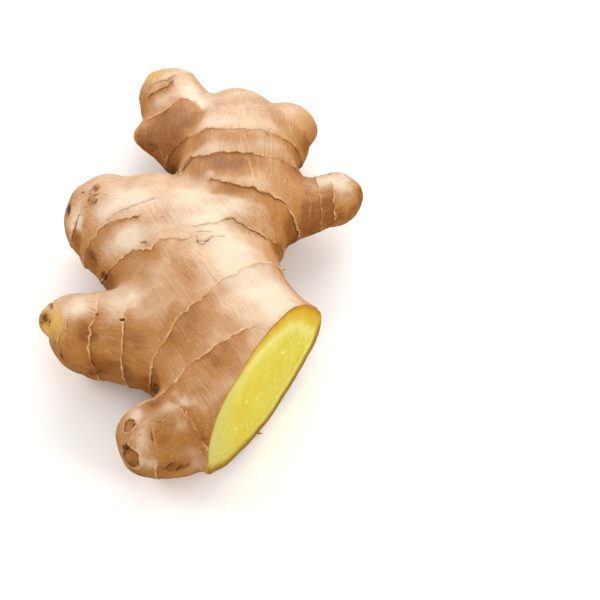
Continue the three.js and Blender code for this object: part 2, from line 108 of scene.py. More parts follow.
STROKES = [
    ("seam_a", 0.32, 0.14, 0.6, [[10.47, 48.7, 36.05], [11.15, 45.05, 36.77], [11.8, 41.86, 36.59], [12.28, 39.22, 36.28]]),
    ("seam_b", 0.35, 0.16, 0.7, [[12.14, 38.43, 36.23], [12.63, 35.49, 35.82], [13.27, 32.56, 35.41], [14.06, 29.35, 35.3], [14.99, 26.96, 35.22]]),
    ("seam_c", 0.3, 0.08, -0.4, [[10.77, 49.31, 35.85], [11.42, 47.12, 36.37], [12.36, 45.84, 36.39]]),
    ("crack_a", 0.3, -0.15, -0.6, [[17.51, 50.83, 33.81], [17.82, 49.65, 33.71], [18.44, 49.13, 33.37]]),
    ("tip_a", 0.35, -0.1, -0.4, [[-20.83, 76.02, 18.46], [-20.19, 78.24, 20.29], [-18.91, 79.91, 21.77]]),
    ("spur_a", 0.3, 0.12, 0.4, [[-6.78, 7.15, 36.86], [-5.57, 6.7, 37.14], [-4.34, 5.31, 37.37], [-3.38, 2.88, 37.43], [-2.4, -0.73, 37.53], [-0.53, -4.19, 38.36], [1.01, -6.89, 38.78]]),
    ("spur_b", 0.3, 0.1, 0.3, [[-4.59, 3.76, 37.33], [-3.6, -0.27, 37.44], [-1.68, -5.1, 38.52], [0.48, -9.29, 38.88]]),
    ("box_a", 0.28, -0.08, -0.55, [[-3.75, 5.62, 37.46], [-2.86, 5.93, 37.56], [-0.79, 6.04, 37.67], [1.58, 6.01, 37.47], [2.43, 7.53, 37.1]]),
    ("box_b", 0.28, -0.08, -0.5, [[-2.85, 5.52, 37.58], [-2.51, 3.52, 37.6], [-2.17, 1.63, 37.52], [-0.67, 0.98, 37.59], [0.49, 2.25, 37.71], [1.95, 3.04, 37.7]]),
    ("edge_a", 0.3, -0.1, -0.3, [[-8.36, 26.75, 33.22], [-5.98, 27.58, 32.76], [-3.87, 28.22, 32.72], [-2.68, 29.18, 32.8]]),
    ("dash_a", 0.3, -0.12, -0.5, [[-20.98, -28.71, 26.58], [-19.16, -30.16, 26.98], [-17.95, -30.84, 27.36]]),
    ("crack_b", 0.3, 0.12, 0.6, [[-11.68, -55.99, 24.89], [-13.11, -56.23, 24.73], [-13.94, -57.57, 24.14], [-13.64, -59.27, 23.08], [-13.07, -61.03, 21.63], [-12.52, -62.52, 19.81]]),
    ("crack_b2", 0.45, -0.15, -0.6, [[-14.37, -57.56, 24.12], [-14.21, -59.26, 23.07], [-13.64, -60.81, 21.81]]),
    ("crack_b3", 0.4, -0.1, -0.4, [[-13.69, -55.66, 24.92], [-12.55, -55.27, 25.12], [-11.11, -55.76, 25.05]]),
    ("low_b", 0.4, -0.18, -1.1, [[-11.53, -64.73, 14.17], [-10.07, -64.38, 15.14], [-8.9, -63.86, 16.36], [-7.18, -63.48, 16.81]]),
    ("low_c", 0.45, -0.18, -1.1, [[-7.86, -64.26, 13.05], [-6.39, -63.81, 14.61], [-5.2, -63.43, 16.02]]),
    ("low_c2", 0.35, -0.15, -0.8, [[-6.42, -63.93, 13.56], [-4.67, -63.48, 14.88], [-3.2, -63.12, 16.31]]),
    ("low_c3", 0.3, -0.12, -0.6, [[-10.41, -64.69, 13.64], [-8.96, -64.4, 14.2], [-8.07, -63.95, 15.52]]),
    ("knob_w1", 0.3, -0.1, -0.5, [[-0.61, -62.67, 27.11], [1.11, -63.37, 27.33], [2.25, -63.82, 27.23]]),
    ("knob_w2", 0.3, 0.1, 0.4, [[-0.35, -63.32, 25.62], [1.07, -64.08, 25.21], [2.19, -64.83, 23.87]]),
    ("knob_w3", 0.3, -0.1, -0.5, [[-0.38, -63.56, 24.53], [0.45, -64.21, 23.03], [0.96, -64.55, 20.64]]),
    ("knob_w4", 0.3, -0.1, -0.4, [[-4.35, -57.62, 29.36], [-2.88, -59.94, 29.13], [-2.03, -61.49, 27.89]]),
    ("cut_lip_a", 0.3, 0.1, 0.5, [[11.71, -35.88, 40.88], [13.42, -34.86, 40.98], [15.13, -34.62, 41.15], [16.57, -35.85, 41.3]]),
    ("lm_x", 0.4, -0.15, -0.9, [[-33.57, -26.8, 17.68], [-33.03, -27.28, 16.39], [-31.87, -27.71, 15.75]]),
    ("lm_y", 0.4, -0.15, -0.9, [[-32.43, -27.53, 11.48], [-31.43, -27.91, 12.92], [-30.43, -28.26, 14.78]]),
    ("lm_z", 0.35, -0.12, -0.8, [[-43.04, -21.61, 14.99], [-43.02, -21.59, 13.08], [-42.88, -21.42, 10.96]]),
    ("lm_w1", 0.35, -0.06, -0.28, [[-33.18, -20.13, 24.87], [-30.78, -20.28, 25.51], [-27.06, -22.49, 27.27], [-24.66, -22.83, 28.15]]),
    ("lm_w2", 0.35, -0.06, -0.3, [[-32.56, -21.27, 24.4], [-29.5, -22.3, 25.66], [-25.83, -23.9, 27.15]]),
    ("lm_w3", 0.35, -0.06, -0.3, [[-37.37, -19.34, 24.37], [-35.27, -19.44, 24.96], [-33.78, -19.97, 24.9]]),
    ("lm_w4", 0.35, -0.05, -0.22, [[-32.85, -24.71, 21.64], [-29.47, -25.73, 23.37], [-26.12, -27.31, 24.38]]),
    ("lm_crust", 0.6, 0.12, -0.9, [[-48.26, -4.63, 16.65], [-47.39, -4.1, 16.72], [-46.46, -5.44, 18.08]]),
    ("lm_crust2", 0.5, -0.1, -0.8, [[-49.99, -6.81, 15.75], [-50.37, -8.46, 14.92], [-50.22, -10.25, 13.79]]),
    ("lm_gold", 0.3, -0.1, -0.6, [[-45.35, -17.84, 16.94], [-44.33, -19.41, 17.46], [-44.79, -19.43, 15.13], [-43.84, -20.75, 14.87]]),
    ("lt_w1", 0.4, -0.15, -0.9, [[-35.76, 28.91, 27.9], [-34.5, 28.85, 28.65], [-32.94, 29.0, 29.39]]),
    ("lt_w2", 0.35, -0.1, -0.5, [[-35.74, 33.79, 27.31], [-34.83, 34.2, 27.54], [-33.61, 34.63, 27.75]]),
    ("lt_w3", 0.4, -0.12, -0.6, [[-36.63, 26.9, 26.94], [-36.54, 28.41, 27.32], [-35.77, 29.1, 27.92]]),
    ("lt_w4", 0.35, -0.1, -0.5, [[-35.3, 25.6, 27.71], [-34.06, 26.08, 28.53], [-33.8, 27.37, 28.92]]),
    ("lt_edge", 0.7, -0.3, -1.1, [[-43.33, 32.58, 20.43], [-43.11, 29.26, 20.89], [-43.19, 27.01, 20.19]]),
    ("lt_edge2", 0.5, -0.15, -0.8, [[-38.77, 39.83, 22.99], [-37.58, 40.67, 23.0], [-36.69, 41.33, 22.96]]),
    ("lt_f", 0.35, -0.12, -0.8, [[-39.06, 20.4, 19.34], [-39.08, 18.95, 17.75], [-39.71, 18.88, 15.04]]),
    ("lt_e", 0.35, 0.14, -0.3, [[-20.36, 5.59, 31.19], [-19.15, 6.18, 32.1], [-17.59, 5.3, 32.88], [-16.0, 3.71, 33.79]]),
    ("lt_e2", 0.4, -0.12, -0.7, [[-19.77, 6.59, 31.86], [-18.54, 6.4, 32.52], [-17.29, 5.48, 33.12]]),
    ("lt_end", 0.45, -0.12, -0.45, [[-22.52, 16.37, 32.55], [-21.29, 16.28, 33.11], [-21.02, 17.18, 33.23]]),
    ("lt_dot", 0.4, -0.12, -0.4, [[-16.98, 22.64, 33.92], [-16.38, 22.87, 33.89]]),
    ("head_l1", 0.6, -0.2, -0.9, [[-3.99, 42.73, 30.74], [-5.25, 42.82, 29.75], [-6.5, 41.89, 28.49], [-8.08, 41.02, 26.7], [-9.26, 39.13, 26.48]]),
    ("head_l2", 0.4, 0.1, -0.3, [[-19.63, 67.87, 17.31], [-19.25, 65.17, 16.48], [-19.6, 63.57, 14.48]]),
    ("right_x", 0.3, -0.12, -0.6, [[42.26, 33.06, 14.35], [43.55, 34.04, 11.84], [44.53, 35.31, 9.48]]),
    ("right_y", 0.3, -0.1, -0.5, [[41.09, 45.98, 19.52], [42.32, 44.73, 19.72], [43.56, 44.33, 19.24]]),
]
# name, kind, strength, depth, centre, two axes. Brown spots hold brown skin and also painted shade on the lower flanks,
# under the head and down the body's left side; pale spots hold pale skin and also painted highlights on the tops and
# lit sides; dark spots are scars and marks, and under the head painted shadow
SPOTS = [
    ("scar_lt_a", "dark", 1.0, -0.45, [-35.54, 11.66, 19.63], [1.07, -1.01, 1.62], [0.67, -1.66, -1.17]),
    ("scar_lt_a2", "dark", 0.6, -0.2, [-34.14, 9.48, 18.44], [0.79, -0.57, 0.95], [0.43, -1.02, -1.51]),
    ("scar_lt_a3", "tan", 1.0, -0.1, [-35.09, 10.73, 18.85], [2.18, -1.05, 2.32], [1.24, -2.59, -2.24]),
    ("scar_lt_b", "dark", 1.1, -0.45, [-31.12, 5.64, 17.8], [0.89, -0.87, 0.43], [-0.76, 0.0, -2.11]),
    ("scar_lt_b2", "tan", 1.1, -0.1, [-30.34, 4.33, 17.0], [1.86, -1.83, 1.19], [-1.04, 0.16, -3.7]),
    ("scar_lt_c", "bud", 0.25, -0.05, [-34.48, 31.41, 28.55], [1.89, -1.95, 1.21], [-0.77, -4.68, 0.86]),
    ("scar_lt_d", "tan", 1.2, -0.15, [-35.52, 27.11, 27.85], [1.08, 0.42, 0.84], [0.88, -1.56, 0.33]),
    ("scar_lt_g", "dark", 0.7, -0.2, [-34.66, 31.96, 28.4], [0.83, 0.62, 0.21], [0.69, -1.76, 0.74]),
    ("scar_lt_h", "dark", 1.0, -0.2, [-42.98, 29.87, 21.14], [0.76, -0.86, 0.74], [-0.32, -1.89, -0.59]),
    ("scar_lt_i", "tan", 0.4, -0.1, [-40.29, 20.54, 16.86], [1.29, -0.89, 1.71], [0.94, -1.93, -1.24]),
    ("scar_lt_e", "tan", 0.6, -0.15, [-40.63, 20.77, 16.6], [1.71, -1.39, 1.98], [0.38, -1.32, -2.61]),
    ("scar_lt_f", "tan", 0.2, 0, [-37.13, 20.73, 23.56], [2.63, -1.6, 2.44], [0.89, -4.44, -1.32]),
    ("dot_lt", "dark", 0.8, -0.2, [-38.68, 32.48, 25.79], [0.72, -0.38, 0.59], [0.12, -0.71, 0.15]),
    ("notch_a", "dark", 1.3, -0.3, [-13.89, -40.07, 19.34], [2.47, -3.18, 1.93], [-0.96, -2.01, -0.28]),
    ("notch_b", "tan", 1.2, 0, [-15.17, -37.46, 18.85], [3.29, -4.4, 2.79], [-1.71, 0.84, -5.16]),
    ("side_tip", "tan", 1.6, -0.1, [-19.59, 63.95, 15.0], [3.72, -2.85, 3.01], [-0.06, -1.96, -3.01]),
    ("side_tip_b", "dark", 0.7, -0.2, [-18.63, 62.37, 13.9], [2.19, -1.91, 0.93], [-0.63, -0.06, -2.11]),
    ("side_tip_c", "bud", 0.35, -0.05, [-22.92, 67.72, 14.71], [1.7, -1.27, 1.33], [0.05, -2.8, -1.21]),
    ("head_under", "tan", 1.5, 0, [-12.23, 54.2, 17.09], [3.27, -3.01, 7.48], [3.01, -3.83, -0.14]),
    ("head_under_b", "dark", 0.8, -0.1, [-11.49, 54.48, 11.7], [0.88, -3.19, 3.99], [0.85, 0.06, -2.47]),
    ("head_under_c", "tan", 0.8, 0, [-14.11, 57.54, 19.96], [2.92, -1.24, 5.2], [2.85, -4.49, 0.87]),
    ("head_left", "tan", 1.3, 0, [-10.38, 65.36, 25.4], [5.34, 3.12, 3.19], [3.09, -6.43, 1.81]),
    ("head_left_b", "tan", 0.6, 0, [-5.77, 59.97, 27.39], [3.26, -2.39, 2.49], [0.14, -4.79, 0.5]),
    ("tl_side", "tan", 0.6, 0, [-21.56, 78.39, 18.31], [1.74, -1.76, 1.81], [0.08, -3.11, -0.92]),
    ("tl_patch", "tan", 0.5, 0, [-15.06, 80.86, 23.07], [2.15, 0.54, 0.28], [0.38, -1.62, -0.11]),
    ("oval_a", "oval", 0.9, 0.28, [-20.99, -54.8, 22.38], [1.58, 0.77, 1.53], [1.15, -1.69, 0.48]),
    ("oval_a_dot", "dark", 0.9, -0.2, [-19.35, -55.2, 23.38], [0.53, -0.19, 0.25], [0.02, -0.62, -0.13]),
    ("oval_b", "oval", 1.0, 0.32, [-20.84, -61.9, 16.59], [1.75, -1.25, 2.9], [1.34, -1.82, -2.56]),
    ("oval_b_dark", "dark", 1.3, -0.6, [-22.15, -59.4, 18.27], [1.06, -0.69, 1.83], [0.56, -1.07, -0.06]),
    ("oval_b_foot", "tan", 1.0, -0.1, [-19.92, -62.88, 14.07], [1.09, -0.46, 1.58], [0.52, -0.22, -1.38]),
    ("low_marks", "tan", 0.9, -0.1, [-7.8, -64.0, 15.1], [4.76, 0.79, 0.63], [0.26, -0.33, -2.14]),
    ("low_top", "tan", 0.9, -0.05, [-13.38, -48.56, 24.61], [1.78, -0.62, 0.8], [0.12, -2.44, 0.8]),
    ("knob_zone", "tan", 0.55, 0, [-1.44, -61.57, 28.47], [2.24, -0.17, 2.45], [2.87, -3.71, -2.66]),
    ("dot_a", "dark", 0.8, -0.25, [-31.63, -16.71, 26.51], [0.5, -0.03, 0.04], [0.02, -0.46, -0.09]),
    ("dot_b", "pit", 1.0, -0.5, [-23.97, -20.88, 29.01], [0.9, -0.18, 0.22], [0.02, -0.62, -0.17]),
    ("dot_c", "tan", 0.9, -0.15, [-32.09, -22.88, 23.59], [1.52, -0.43, 0.53], [0.01, -1.34, -0.91]),
    ("lm_orange", "tan", 1.2, -0.1, [-32.65, -27.61, 12.54], [2.47, -0.78, 1.64], [0.07, 0.23, -2.16]),
    ("lm_low", "tan", 0.9, -0.1, [-22.49, -32.38, 16.65], [1.74, -1.31, 0.68], [-0.71, 0.9, -3.36]),
    ("lm_shade", "tan", 1.15, 0, [-35.55, -21.81, 23.21], [2.71, -0.51, 0.62], [0.0, -3.4, -2.81]),
    ("lm_shade_b", "tan", 0.6, 0, [-27.03, -24.35, 26.32], [4.86, -1.54, 1.89], [0.04, -3.04, -1.83]),
    ("lm_shade_c", "tan", 0.8, 0, [-19.19, -27.44, 28.72], [3.63, -1.35, 1.66], [0.08, -4.88, -2.33]),
    ("lm_shade_d", "tan", 0.45, 0, [-40.79, -22.13, 19.39], [1.88, -0.81, 1.0], [-0.08, -1.26, -2.2]),
    ("lm_low_b", "tan", 0.8, 0, [-28.46, -28.84, 17.87], [6.09, -2.5, 2.31], [-0.43, -0.31, -3.84]),
    ("tip_yellow", "yellow", 0.85, 0, [-44.43, -14.38, 20.21], [3.04, -2.45, 3.4], [0.99, -7.09, -0.25]),
    ("tip_yellow_b", "yellow", 0.9, 0, [-47.61, -13.06, 14.38], [1.41, -1.43, 2.07], [0.41, -1.66, -2.15]),
    ("tip_bud", "bud", 0.9, -0.1, [-48.5, -10.36, 16.75], [1.96, -1.06, 1.77], [0.68, -3.29, -0.65]),
    ("tip_dark", "dark", 0.8, -0.2, [-48.03, -10.29, 17.13], [0.92, -0.21, 0.62], [0.45, -1.51, -0.43]),
    ("tip_dark_b", "dark", 0.9, -0.2, [-46.32, -7.08, 18.65], [0.59, -0.01, 0.33], [0.45, -1.64, 0.65]),
    ("tl_yellow", "yellow", 0.9, 0, [-20.4, 90.27, 18.1], [2.62, -0.14, 2.2], [1.51, -4.35, 1.2]),
    ("tl_yellow_b", "yellow", 0.55, 0, [-15.95, 87.39, 22.37], [4.32, -1.94, 2.77], [0.3, -2.64, 0.87]),
    ("tr_yellow", "yellow", 0.7, 0, [30.23, 73.95, 18.31], [1.92, 2.2, -2.28], [-0.01, -4.22, 1.17]),
    ("tr_brown", "tan", 0.9, -0.1, [29.58, 60.38, 18.77], [2.66, 3.64, -2.44], [1.19, -0.74, -3.97]),
    ("rt_tip", "tan", 1.3, -0.1, [47.0, 40.2, 15.24], [1.3, 1.66, -1.83], [-0.0, -2.72, -2.11]),
    ("rt_tip_c", "dark", 0.7, -0.15, [47.34, 42.41, 15.57], [0.63, 1.0, -0.86], [0.4, -1.26, -0.85]),
    ("rt_tip_b", "bud", 0.35, -0.05, [44.78, 35.45, 14.0], [1.94, 2.62, -1.29], [0.99, 0.57, -3.05]),
    ("rt_band", "tan", 1.2, 0, [31.38, 29.6, 20.05], [3.08, 1.64, -1.83], [0.0, -4.16, -4.6]),
    ("rt_band_b", "tan", 1.0, 0, [36.64, 32.14, 18.15], [1.86, 0.57, -0.64], [0.03, -2.84, -6.11]),
    ("rt_rough", "rough", 0.8, 0.0, [41.61, 37.19, 19.93], [2.19, 0.9, -0.99], [-0.01, -1.3, -0.41]),
    ("trunk_low", "tan", 1.0, -0.1, [21.66, 11.11, 23.95], [2.05, 1.66, -3.73], [-0.88, -3.63, 1.78]),
    ("trunk_low_b", "tan", 0.7, 0, [24.94, 22.09, 19.27], [2.36, 3.11, -5.6], [-1.52, -3.12, -0.46]),
    ("trunk_mid", "tan", 0.8, 0, [6.29, 24.15, 36.06], [4.8, -1.76, 0.69], [-0.28, -2.24, -0.19]),
    ("body_tone_a", "tan", 0.4, 0, [-6.99, -16.17, 37.04], [5.55, 2.58, 1.92], [5.35, -12.2, 1.12]),
    ("body_tone_b", "tan", 0.45, 0, [7.57, -45.92, 39.26], [2.93, -5.81, -0.6], [-6.38, -3.15, -1.97]),
    ("body_tone_c", "tan", 0.7, 0, [-3.66, -32.66, 36.49], [5.17, -5.14, 1.76], [-3.56, -5.54, -3.09]),
    ("head_band_a", "tan", 0.55, 0, [8.38, 45.75, 36.93], [10.52, -1.09, 0.62], [-0.0, -2.64, 0.56]),
    ("head_band_b", "tan", 1.25, 0, [6.73, 33.76, 36.34], [6.1, -0.73, 0.32], [-0.08, -3.73, 0.01]),
    ("head_band_c", "tan", 0.5, 0, [16.41, 36.94, 34.71], [6.61, 1.95, -3.46], [-0.15, -1.65, -0.0]),
    ("head_band_d", "tan", 0.6, 0, [-4.13, 47.77, 30.32], [3.11, 0.42, 2.65], [1.16, -2.93, 0.9]),
    ("body_tone_d", "tan", 0.45, 0, [-5.13, -8.43, 37.87], [3.62, 1.6, 1.1], [4.17, -10.38, 0.95]),
    ("body_tone_e", "tan", 0.4, 0, [6.77, -31.26, 40.67], [2.1, 2.22, 0.32], [5.17, -8.13, 1.13]),
    ("low_tone_b", "tan", 0.6, 0, [-11.36, -59.92, 22.53], [2.28, -0.02, 0.02], [0.0, -2.86, -2.36]),
    ("low_tone", "tan", 0.25, 0, [-7.64, -60.13, 22.8], [7.51, -1.6, 2.12], [-0.03, -3.16, -3.39]),
    ("body_pale", "pale", 0.85, 0, [9.17, -4.57, 37.9], [7.44, -12.15, -0.15], [-4.27, -6.48, 2.21]),
    ("body_pale_b", "pale", 0.95, 0, [20.14, -18.81, 37.01], [4.41, -9.35, 1.5], [-3.98, -7.12, 4.04]),
    ("neck_pale", "pale", 0.45, 0, [-0.69, 13.33, 36.4], [5.73, -8.5, 1.25], [-3.64, -5.92, 0.92]),
    ("neck_pale_b", "pale", 0.5, 0, [-5.22, 23.56, 34.03], [4.64, -2.97, 0.81], [-1.02, -6.14, 1.7]),
    ("head_pale", "pale", 0.3, 0, [9.42, 55.33, 34.02], [11.19, 1.28, -1.33], [0.09, -4.56, 1.18]),
    ("head_pale_b", "pale", 0.4, 0, [18.16, 45.1, 33.59], [4.2, 1.58, -2.76], [-0.3, -2.67, 0.19]),
    ("head_pale_c", "pale", 0.4, 0, [-0.57, 56.71, 32.13], [3.54, -2.44, 2.54], [0.1, -3.77, 0.8]),
    ("head_pale_d", "pale", 0.7, 0, [-3.49, 68.81, 27.25], [2.11, 2.3, -0.56], [1.67, -6.52, 3.2]),
    ("head_pale_e", "pale", 0.6, 0, [1.02, 42.97, 34.52], [3.16, -1.99, 2.11], [0.05, -2.18, 0.09]),
    ("head_pale_f", "pale", 0.6, 0, [1.25, 32.57, 34.94], [3.1, -1.25, 1.35], [0.03, -1.87, -0.21]),
    ("lt_pale", "pale", 1.1, 0, [-24.63, 23.46, 32.34], [7.01, 0.79, 2.47], [1.15, -4.4, 0.57]),
    ("lt_pale_b", "pale", 0.8, 0, [-22.56, 8.13, 31.0], [3.51, 1.09, 2.41], [2.41, -4.28, 0.04]),
    ("lt_pale_c", "pale", 0.7, 0, [-31.71, 21.3, 28.4], [2.28, 0.77, 1.49], [1.73, -3.25, 0.28]),
    ("lt_pale_d", "pale", 0.7, 0, [-40.19, 26.08, 23.06], [1.98, -1.77, 1.41], [-1.0, -3.84, -2.89]),
    ("lm_pale", "pale", 0.6, 0, [-22.23, -11.34, 27.66], [4.55, -0.02, 2.53], [1.24, -5.22, 2.33]),
    ("lm_pale_b", "pale", 0.7, 0, [-41.32, -12.72, 23.78], [3.62, -2.59, 3.11], [0.22, -3.46, 0.44]),
    ("lm_pale_c", "pale", 0.5, 0, [-37.07, -12.17, 25.9], [2.76, -0.76, 0.9], [0.29, -4.3, 0.99]),
    ("low_pale", "pale", 0.55, 0, [-9.46, -51.73, 26.84], [2.97, -1.37, 1.78], [0.05, -1.9, -0.35]),
    ("low_pale_b", "pale", 0.6, 0, [-18.42, -52.52, 24.11], [2.07, -0.63, 0.82], [0.12, -2.95, 0.08]),
    ("low_pale_d", "pale", 0.7, 0, [-17.09, -59.69, 22.21], [2.32, -0.35, 0.47], [0.01, -2.68, -2.12]),
    ("low_pale_e", "pale", 0.6, 0, [-15.45, -63.94, 16.95], [3.87, -0.85, -0.6], [-0.59, -0.73, -2.26]),
    ("low_pale_f", "pale", 0.5, 0, [-2.34, -63.1, 16.29], [3.31, -0.45, 2.58], [0.67, 0.08, -3.72]),
    ("low_pale_g", "pale", 0.5, 0, [-4.36, -59.07, 27.99], [2.96, -1.77, 2.32], [-0.02, -1.68, -2.01]),
    ("low_pale_c", "pale", 1.0, 0, [-5.56, -52.7, 31.34], [3.43, -4.43, 2.68], [-1.2, -0.69, -2.33]),
    ("lobe_hi_a", "pale", 0.8, 0, [-25.39, 9.65, 29.73], [6.35, 0.63, 5.07], [1.76, -3.65, 0.3]),
    ("lobe_hi_b", "pale", 0.2, 0, [-35.1, 10.64, 18.49], [2.67, -1.67, 7.59], [2.07, -2.73, 1.54]),
    ("under_pale", "pale", 0.6, 0, [10.9, 17.66, 36.06], [6.5, -0.42, -1.25], [-0.48, -3.71, -0.3]),
    ("tl_pale", "pale", 0.7, 0, [-7.05, 79.16, 22.99], [3.52, -7.33, 1.93], [-2.04, -4.17, 1.62]),
    ("tl_pale_b", "pale", 0.5, 0, [-16.5, 74.59, 21.76], [2.62, -1.06, 1.09], [0.04, -2.05, -0.62]),
    ("rt_pale", "pale", 0.6, 0, [35.74, 41.2, 21.96], [4.35, 0.74, -0.81], [-0.02, -2.68, 0.63]),
    ("rt_pale_b", "pale", 0.75, 0, [41.32, 39.94, 20.59], [2.77, 0.45, -1.21], [-0.52, -3.75, 0.04]),
    ("rt_low", "tan", 0.8, 0, [40.38, 32.36, 15.13], [3.47, 1.97, -0.11], [0.84, -0.29, -2.69]),
    ("lobe_side_pale", "pale", 1.0, 0, [-40.16, 22.76, 20.82], [2.25, -1.9, 1.31], [-0.99, -1.56, -3.14]),
    ("low_right_pale", "pale", 0.35, 0, [-2.74, -62.68, 22.41], [2.63, -0.99, 1.32], [-0.1, -0.5, -3.6]),
]

# ---------------------------------------------------------------- the skin as a distance field
def smooth_chain(a):
    a = np.asarray(a, float)
    p = np.vstack([2 * a[0] - a[1], a, 2 * a[-1] - a[-2]])
    out = []
    for i in range(1, len(p) - 2):
        p0, p1, p2, p3 = p[i - 1], p[i], p[i + 1], p[i + 2]
        for k in range(STEPS):
            t = k / STEPS
            out.append(0.5 * (2 * p1 + (p2 - p0) * t + (2 * p0 - 5 * p1 + 4 * p2 - p3) * t * t
                              + (3 * p1 - p0 - 3 * p2 + p3) * t ** 3))
    out.append(a[-1])
    return np.array(out)


CHAINS = [smooth_chain(FINGERS[n]) for n in NAMES]


def finger_d(p, grad=False):
    """Distance to each finger, and where asked the way it grows."""
    out = np.empty((len(p), len(CHAINS)))
    way = np.empty((len(p), len(CHAINS), 3)) if grad else None
    for c, ch in enumerate(CHAINS):
        best = np.full(len(p), 1e9)
        bg = np.zeros((len(p), 3))
        for a, b in zip(ch[:-1], ch[1:]):
            ba = b[:3] - a[:3]
            l2 = ba @ ba
            pa = p - a[:3]
            t = np.clip(pa @ ba / l2, 0, 1)
            q = pa - t[:, None] * ba
            ln = np.sqrt(np.einsum("ij,ij->i", q, q))
            d = ln - (a[3] + (b[3] - a[3]) * t)
            s = d < best
            best[s] = d[s]
            if grad:
                part = ((t > 0) & (t < 1))[s] * ((b[3] - a[3]) / l2)
                bg[s] = q[s] / np.maximum(ln[s], 1e-9)[:, None] - part[:, None] * ba
        out[:, c] = best
        if grad:
            way[:, c] = bg
    return (out, way) if grad else out


def lumps(p, grad=False):
    x, y, z = p[:, 0], p[:, 1], p[:, 2]
    u = x * 0.31 + 1.3 * np.sin(y * 0.17) + 0.7
    v = y * 0.27 + 0.9 * np.sin(z * 0.21 + x * 0.11) + 2.1
    w = x * 0.19 - y * 0.23 + z * 0.37 + 0.4
    f = LUMP * (np.sin(u) * np.sin(v) + 0.6 * np.sin(w))
    if not grad:
        return f
    cu, cv, cw, su, sv = np.cos(u), np.cos(v), 0.6 * np.cos(w), np.sin(u), np.sin(v)
    vz = 0.9 * np.cos(z * 0.21 + x * 0.11)
    gx = cu * 0.31 * sv + su * cv * vz * 0.11 + cw * 0.19
    gy = cu * 1.3 * np.cos(y * 0.17) * 0.17 * sv + su * cv * 0.27 - cw * 0.23
    gz = su * cv * vz * 0.21 + cw * 0.37
    return f, LUMP * np.stack([gx, gy, gz], 1)


def skin(p, d=None):
    d = finger_d(p) if d is None else d
    m = d.min(1)
    return m - BLEND * np.log(np.exp(-(d - m[:, None]) / BLEND).sum(1)) + lumps(p)


def skin_slope(p):
    d, way = finger_d(p, True)
    m = d.min(1)
    e = np.exp(-(d - m[:, None]) / BLEND)
    s = e.sum(1)
    f, g = lumps(p, True)
    return m - BLEND * np.log(s) + f, np.einsum("ij,ijk->ik", e / s[:, None], way) + g


def slope(p):
    return skin_slope(p)[1]


def onto(p, rounds=1):
    for _ in range(rounds):
        f, g = skin_slope(p)
        p = p - g * (f / np.einsum("ij,ij->i", g, g))[:, None]
    return p


# ---------------------------------------------------------------- noise
def _hash(i, j, k, seed):
    h = (i * 374761393 + j * 668265263 + k * 2147483647 + seed * 1274126177) & 0xFFFFFFFF
    h = ((h ^ (h >> 13)) * 1103515245) & 0xFFFFFFFF
    return h ^ (h >> 16)


GRAD = np.array([[1, 1, 0], [-1, 1, 0], [1, -1, 0], [-1, -1, 0], [1, 0, 1], [-1, 0, 1], [1, 0, -1], [-1, 0, -1],
                 [0, 1, 1], [0, -1, 1], [0, 1, -1], [0, -1, -1]], float)


def noise(p, seed=0):
    i = np.floor(p).astype(np.int64)
    f = p - i
    u = f * f * f * (f * (f * 6 - 15) + 10)
    out = 0
    for a in (0, 1):
        for b in (0, 1):
            for c in (0, 1):
                g = GRAD[_hash(i[:, 0] + a, i[:, 1] + b, i[:, 2] + c, seed) % 12]
                v = g[:, 0] * (f[:, 0] - a) + g[:, 1] * (f[:, 1] - b) + g[:, 2] * (f[:, 2] - c)
                w = (u[:, 0] if a else 1 - u[:, 0]) * (u[:, 1] if b else 1 - u[:, 1]) * (u[:, 2] if c else 1 - u[:, 2])
                out = out + v * w
    return out


def step01(x, a, b):
    t = np.clip((x - a) / (b - a), 0, 1)
    return t * t * (3 - 2 * t)


# ---------------------------------------------------------------- rings, strokes, spots
def ring_xy(p, ring, own):
    """Signed distance across a ring (plus is its lower side), angle round it, and where it is."""
    name, owners, c0, n, t, par, wrap, tab = ring
    c0, n, t = np.array(c0), np.array(n), np.array(t)
    n = n / np.linalg.norm(n)
    t = t - n * (t @ n)
    t = t / np.linalg.norm(t)
    v = np.cross(n, t)
    rel = p - c0
    th = np.degrees(np.arctan2(rel @ v, rel @ t))
    th = (th + 90) % 360 - 90
    ang = np.array([a for a, _ in tab])
    off = np.array([b for _, b in tab])
    a0, a1 = ang[0], ang[-1]
    xs = np.concatenate([ang - 360, ang, ang + 360])
    ws = np.tile(off, 3)
    w = np.interp(th, xs, ws)
    away = np.clip(np.maximum(a0 - th, th - a1), 0, None)
    away = np.minimum(away, 60) / 60
    seed = sum(map(ord, name))
    w = w + away * 1.6 * noise(np.stack([th / 28.0, th * 0 + 0.5, th * 0 + 0.3], 1), seed)
    g = rel @ n - w
    m = np.ones(len(p))
    if wrap == "part":
        m = step01(th, a0 - 9, a0) * (1 - step01(th, a1, a1 + 9))
    elif wrap == "right":
        m = (1 - step01(th, a1, a1 + 8)) * step01(th, -88, -40)
    elif wrap == "left":
        m = step01(th, a0 - 8, a0) * (1 - step01(th, 225, 262))
    idx = [NAMES.index(o) for o in owners]
    m = m * step01(own[:, idx].sum(1), 0.10, 0.42)
    return g, th, m, n, seed


def seg_dist(p, pts):
    best = np.full(len(p), 1e9)
    at = np.zeros(len(p))
    pts = np.array(pts)
    L = np.concatenate([[0], np.cumsum(np.linalg.norm(np.diff(pts, axis=0), axis=1))])
    lo, hi = pts.min(0) - 2, pts.max(0) + 2
    near = np.where(((p > lo) & (p < hi)).all(1))[0]
    q = p[near]
    for i in range(len(pts) - 1):
        ba = pts[i + 1] - pts[i]
        t = np.clip((q - pts[i]) @ ba / (ba @ ba), 0, 1)
        d = np.linalg.norm(q - pts[i] - t[:, None] * ba, axis=1)
        s = d < best[near]
        best[near[s]] = d[s]
        at[near[s]] = (L[i] + t[s] * (L[i + 1] - L[i])) / L[-1]
    return best, at


